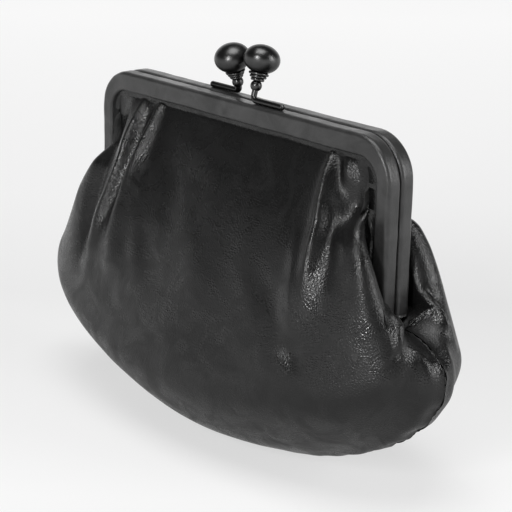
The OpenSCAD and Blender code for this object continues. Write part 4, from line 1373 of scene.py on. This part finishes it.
# %% Floor material
spot = node(tree, "ShaderNodeTexCoord", (-1200, 0))
parts = node(tree, "ShaderNodeSeparateXYZ", (-1000, 0))
join(tree, spot.outputs["Object"], parts.inputs["Vector"])
away_x = maths(tree, "MULTIPLY", parts.outputs["X"], AWAY_X, (-800, 100))
away_y = maths(tree, "MULTIPLY", parts.outputs["Y"], AWAY_Y, (-800, -100))
distance = maths(tree, "ADD", away_x, away_y, (-600, 0))
scaled = maths(tree, "MULTIPLY_ADD", distance, 0.5, (-450, 0))
scaled.node.inputs[2].default_value = 0.25
glow = ramp(tree, scaled, [(0.22, 0.61), (0.32, 0.53), (0.40, 0.61), (0.69, 0.77), (1.0, 0.80)], (-300, 0))
join(tree, glow, shader.inputs["Emission Color"])
span = node(tree, "ShaderNodeVectorMath", (-600, -500))
span.operation = "LENGTH"
join(tree, spot.outputs["Object"], span.inputs[0])
far_glow = ramp(tree, span.outputs["Value"], [(0.12, 0.5), (0.4, 0.9), (0.9, 1.3)], (-400, -500))
ray = node(tree, "ShaderNodeLightPath", (-300, -300))
mirrored = maths(tree, "MULTIPLY", ray.outputs["Is Glossy Ray"], far_glow, (-100, -450))
seen = maths(tree, "ADD", ray.outputs["Is Camera Ray"], mirrored, (0, -300))
join(tree, seen, shader.inputs["Emission Strength"])
shader.inputs["Base Color"].default_value = (0.3, 0.3, 0.3, 1.0)
shader.inputs["Roughness"].default_value = 0.9
shader.inputs["Specular IOR Level"].default_value = 0.1
print("floor material:", len(tree.nodes), "nodes")

# %% [markdown]
# ## World
# Black leather shows mostly what it reflects. In the photograph the light comes from a bright band low
# round the purse and the ceiling is dark, so the world is pale near the horizon and dark above. Behind the
# purse the pale part reaches higher, like a wall. Rays from the camera see a plain pale grey instead.

# %% World
world = bpy.data.worlds.new("studio")
bpy.context.scene.world = world
world.use_nodes = True
tree = world.node_tree
back = tree.nodes["Background"]
spot = node(tree, "ShaderNodeTexCoord", (-1200, 0))
parts = node(tree, "ShaderNodeSeparateXYZ", (-1000, 0))
join(tree, spot.outputs["Generated"], parts.inputs["Vector"])
band = ramp(tree, parts.outputs["Z"], [(0.0, 0.9), (0.10, 0.75), (0.22, 0.07), (0.9, 0.05)], (-800, 0))
towards = node(tree, "ShaderNodeVectorMath", (-1000, -300))
towards.operation = "DOT_PRODUCT"
towards.inputs[1].default_value = (AWAY_X, AWAY_Y, 0.0)
join(tree, spot.outputs["Generated"], towards.inputs[0])
wall = ramp(tree, towards.outputs["Value"], [(0.55, 0.0), (0.85, 1.0)], (-800, -300))
wall_top = ramp(tree, parts.outputs["Z"], [(0.45, 0.95), (0.62, 0.0)], (-800, -550))
bright = maths(tree, "MAXIMUM", band, maths(tree, "MULTIPLY", wall, wall_top, (-600, -400)), (-500, -200))
ray = node(tree, "ShaderNodeLightPath", (-800, 300))
mixed = node(tree, "ShaderNodeMix", (-450, 100))
mixed.data_type = "RGBA"
join(tree, ray.outputs["Is Camera Ray"], mixed.inputs["Factor"])
join(tree, bright, mixed.inputs["A"])
mixed.inputs["B"].default_value = (0.93, 0.93, 0.93, 1.0)
join(tree, mixed.outputs["Result"], back.inputs["Color"])
back.inputs["Strength"].default_value = 1.0
print("world material:", len(tree.nodes), "nodes")

# %% [markdown]
# ## Lamps
# Three soft boxes: one overhead for the floor and the top edges, a narrow one to the left of the camera,
# which draws the bright lines on the folds and the spots on the balls, and one at the right for the arms.

# %% Soft boxes
AIM_HEIGHT = 0.07


def soft_box(name, bearing, elevation, distance, size, power):
    lamp = bpy.data.lights.new(name, "AREA")
    lamp.shape = "RECTANGLE"
    lamp.size, lamp.size_y = size
    lamp.energy = power
    thing = bpy.data.objects.new(name, lamp)
    bpy.context.scene.collection.objects.link(thing)
    a, e = math.radians(bearing), math.radians(elevation)
    way = Vector((math.sin(a) * math.cos(e), -math.cos(a) * math.cos(e), math.sin(e)))
    aim = Vector((0.0, 0.0, AIM_HEIGHT))
    thing.location = aim + way * distance
    thing.rotation_euler = (-way).to_track_quat("-Z", "Y").to_euler()
    return thing


soft_box("overhead", 20.0, 82.0, 1.5, (1.0, 1.0), 16.0)
soft_box("left of camera", 18.0, 24.0, 1.2, (0.12, 0.5), 8.0)
soft_box("right side", 118.0, 20.0, 1.2, (0.4, 0.6), 5.0)
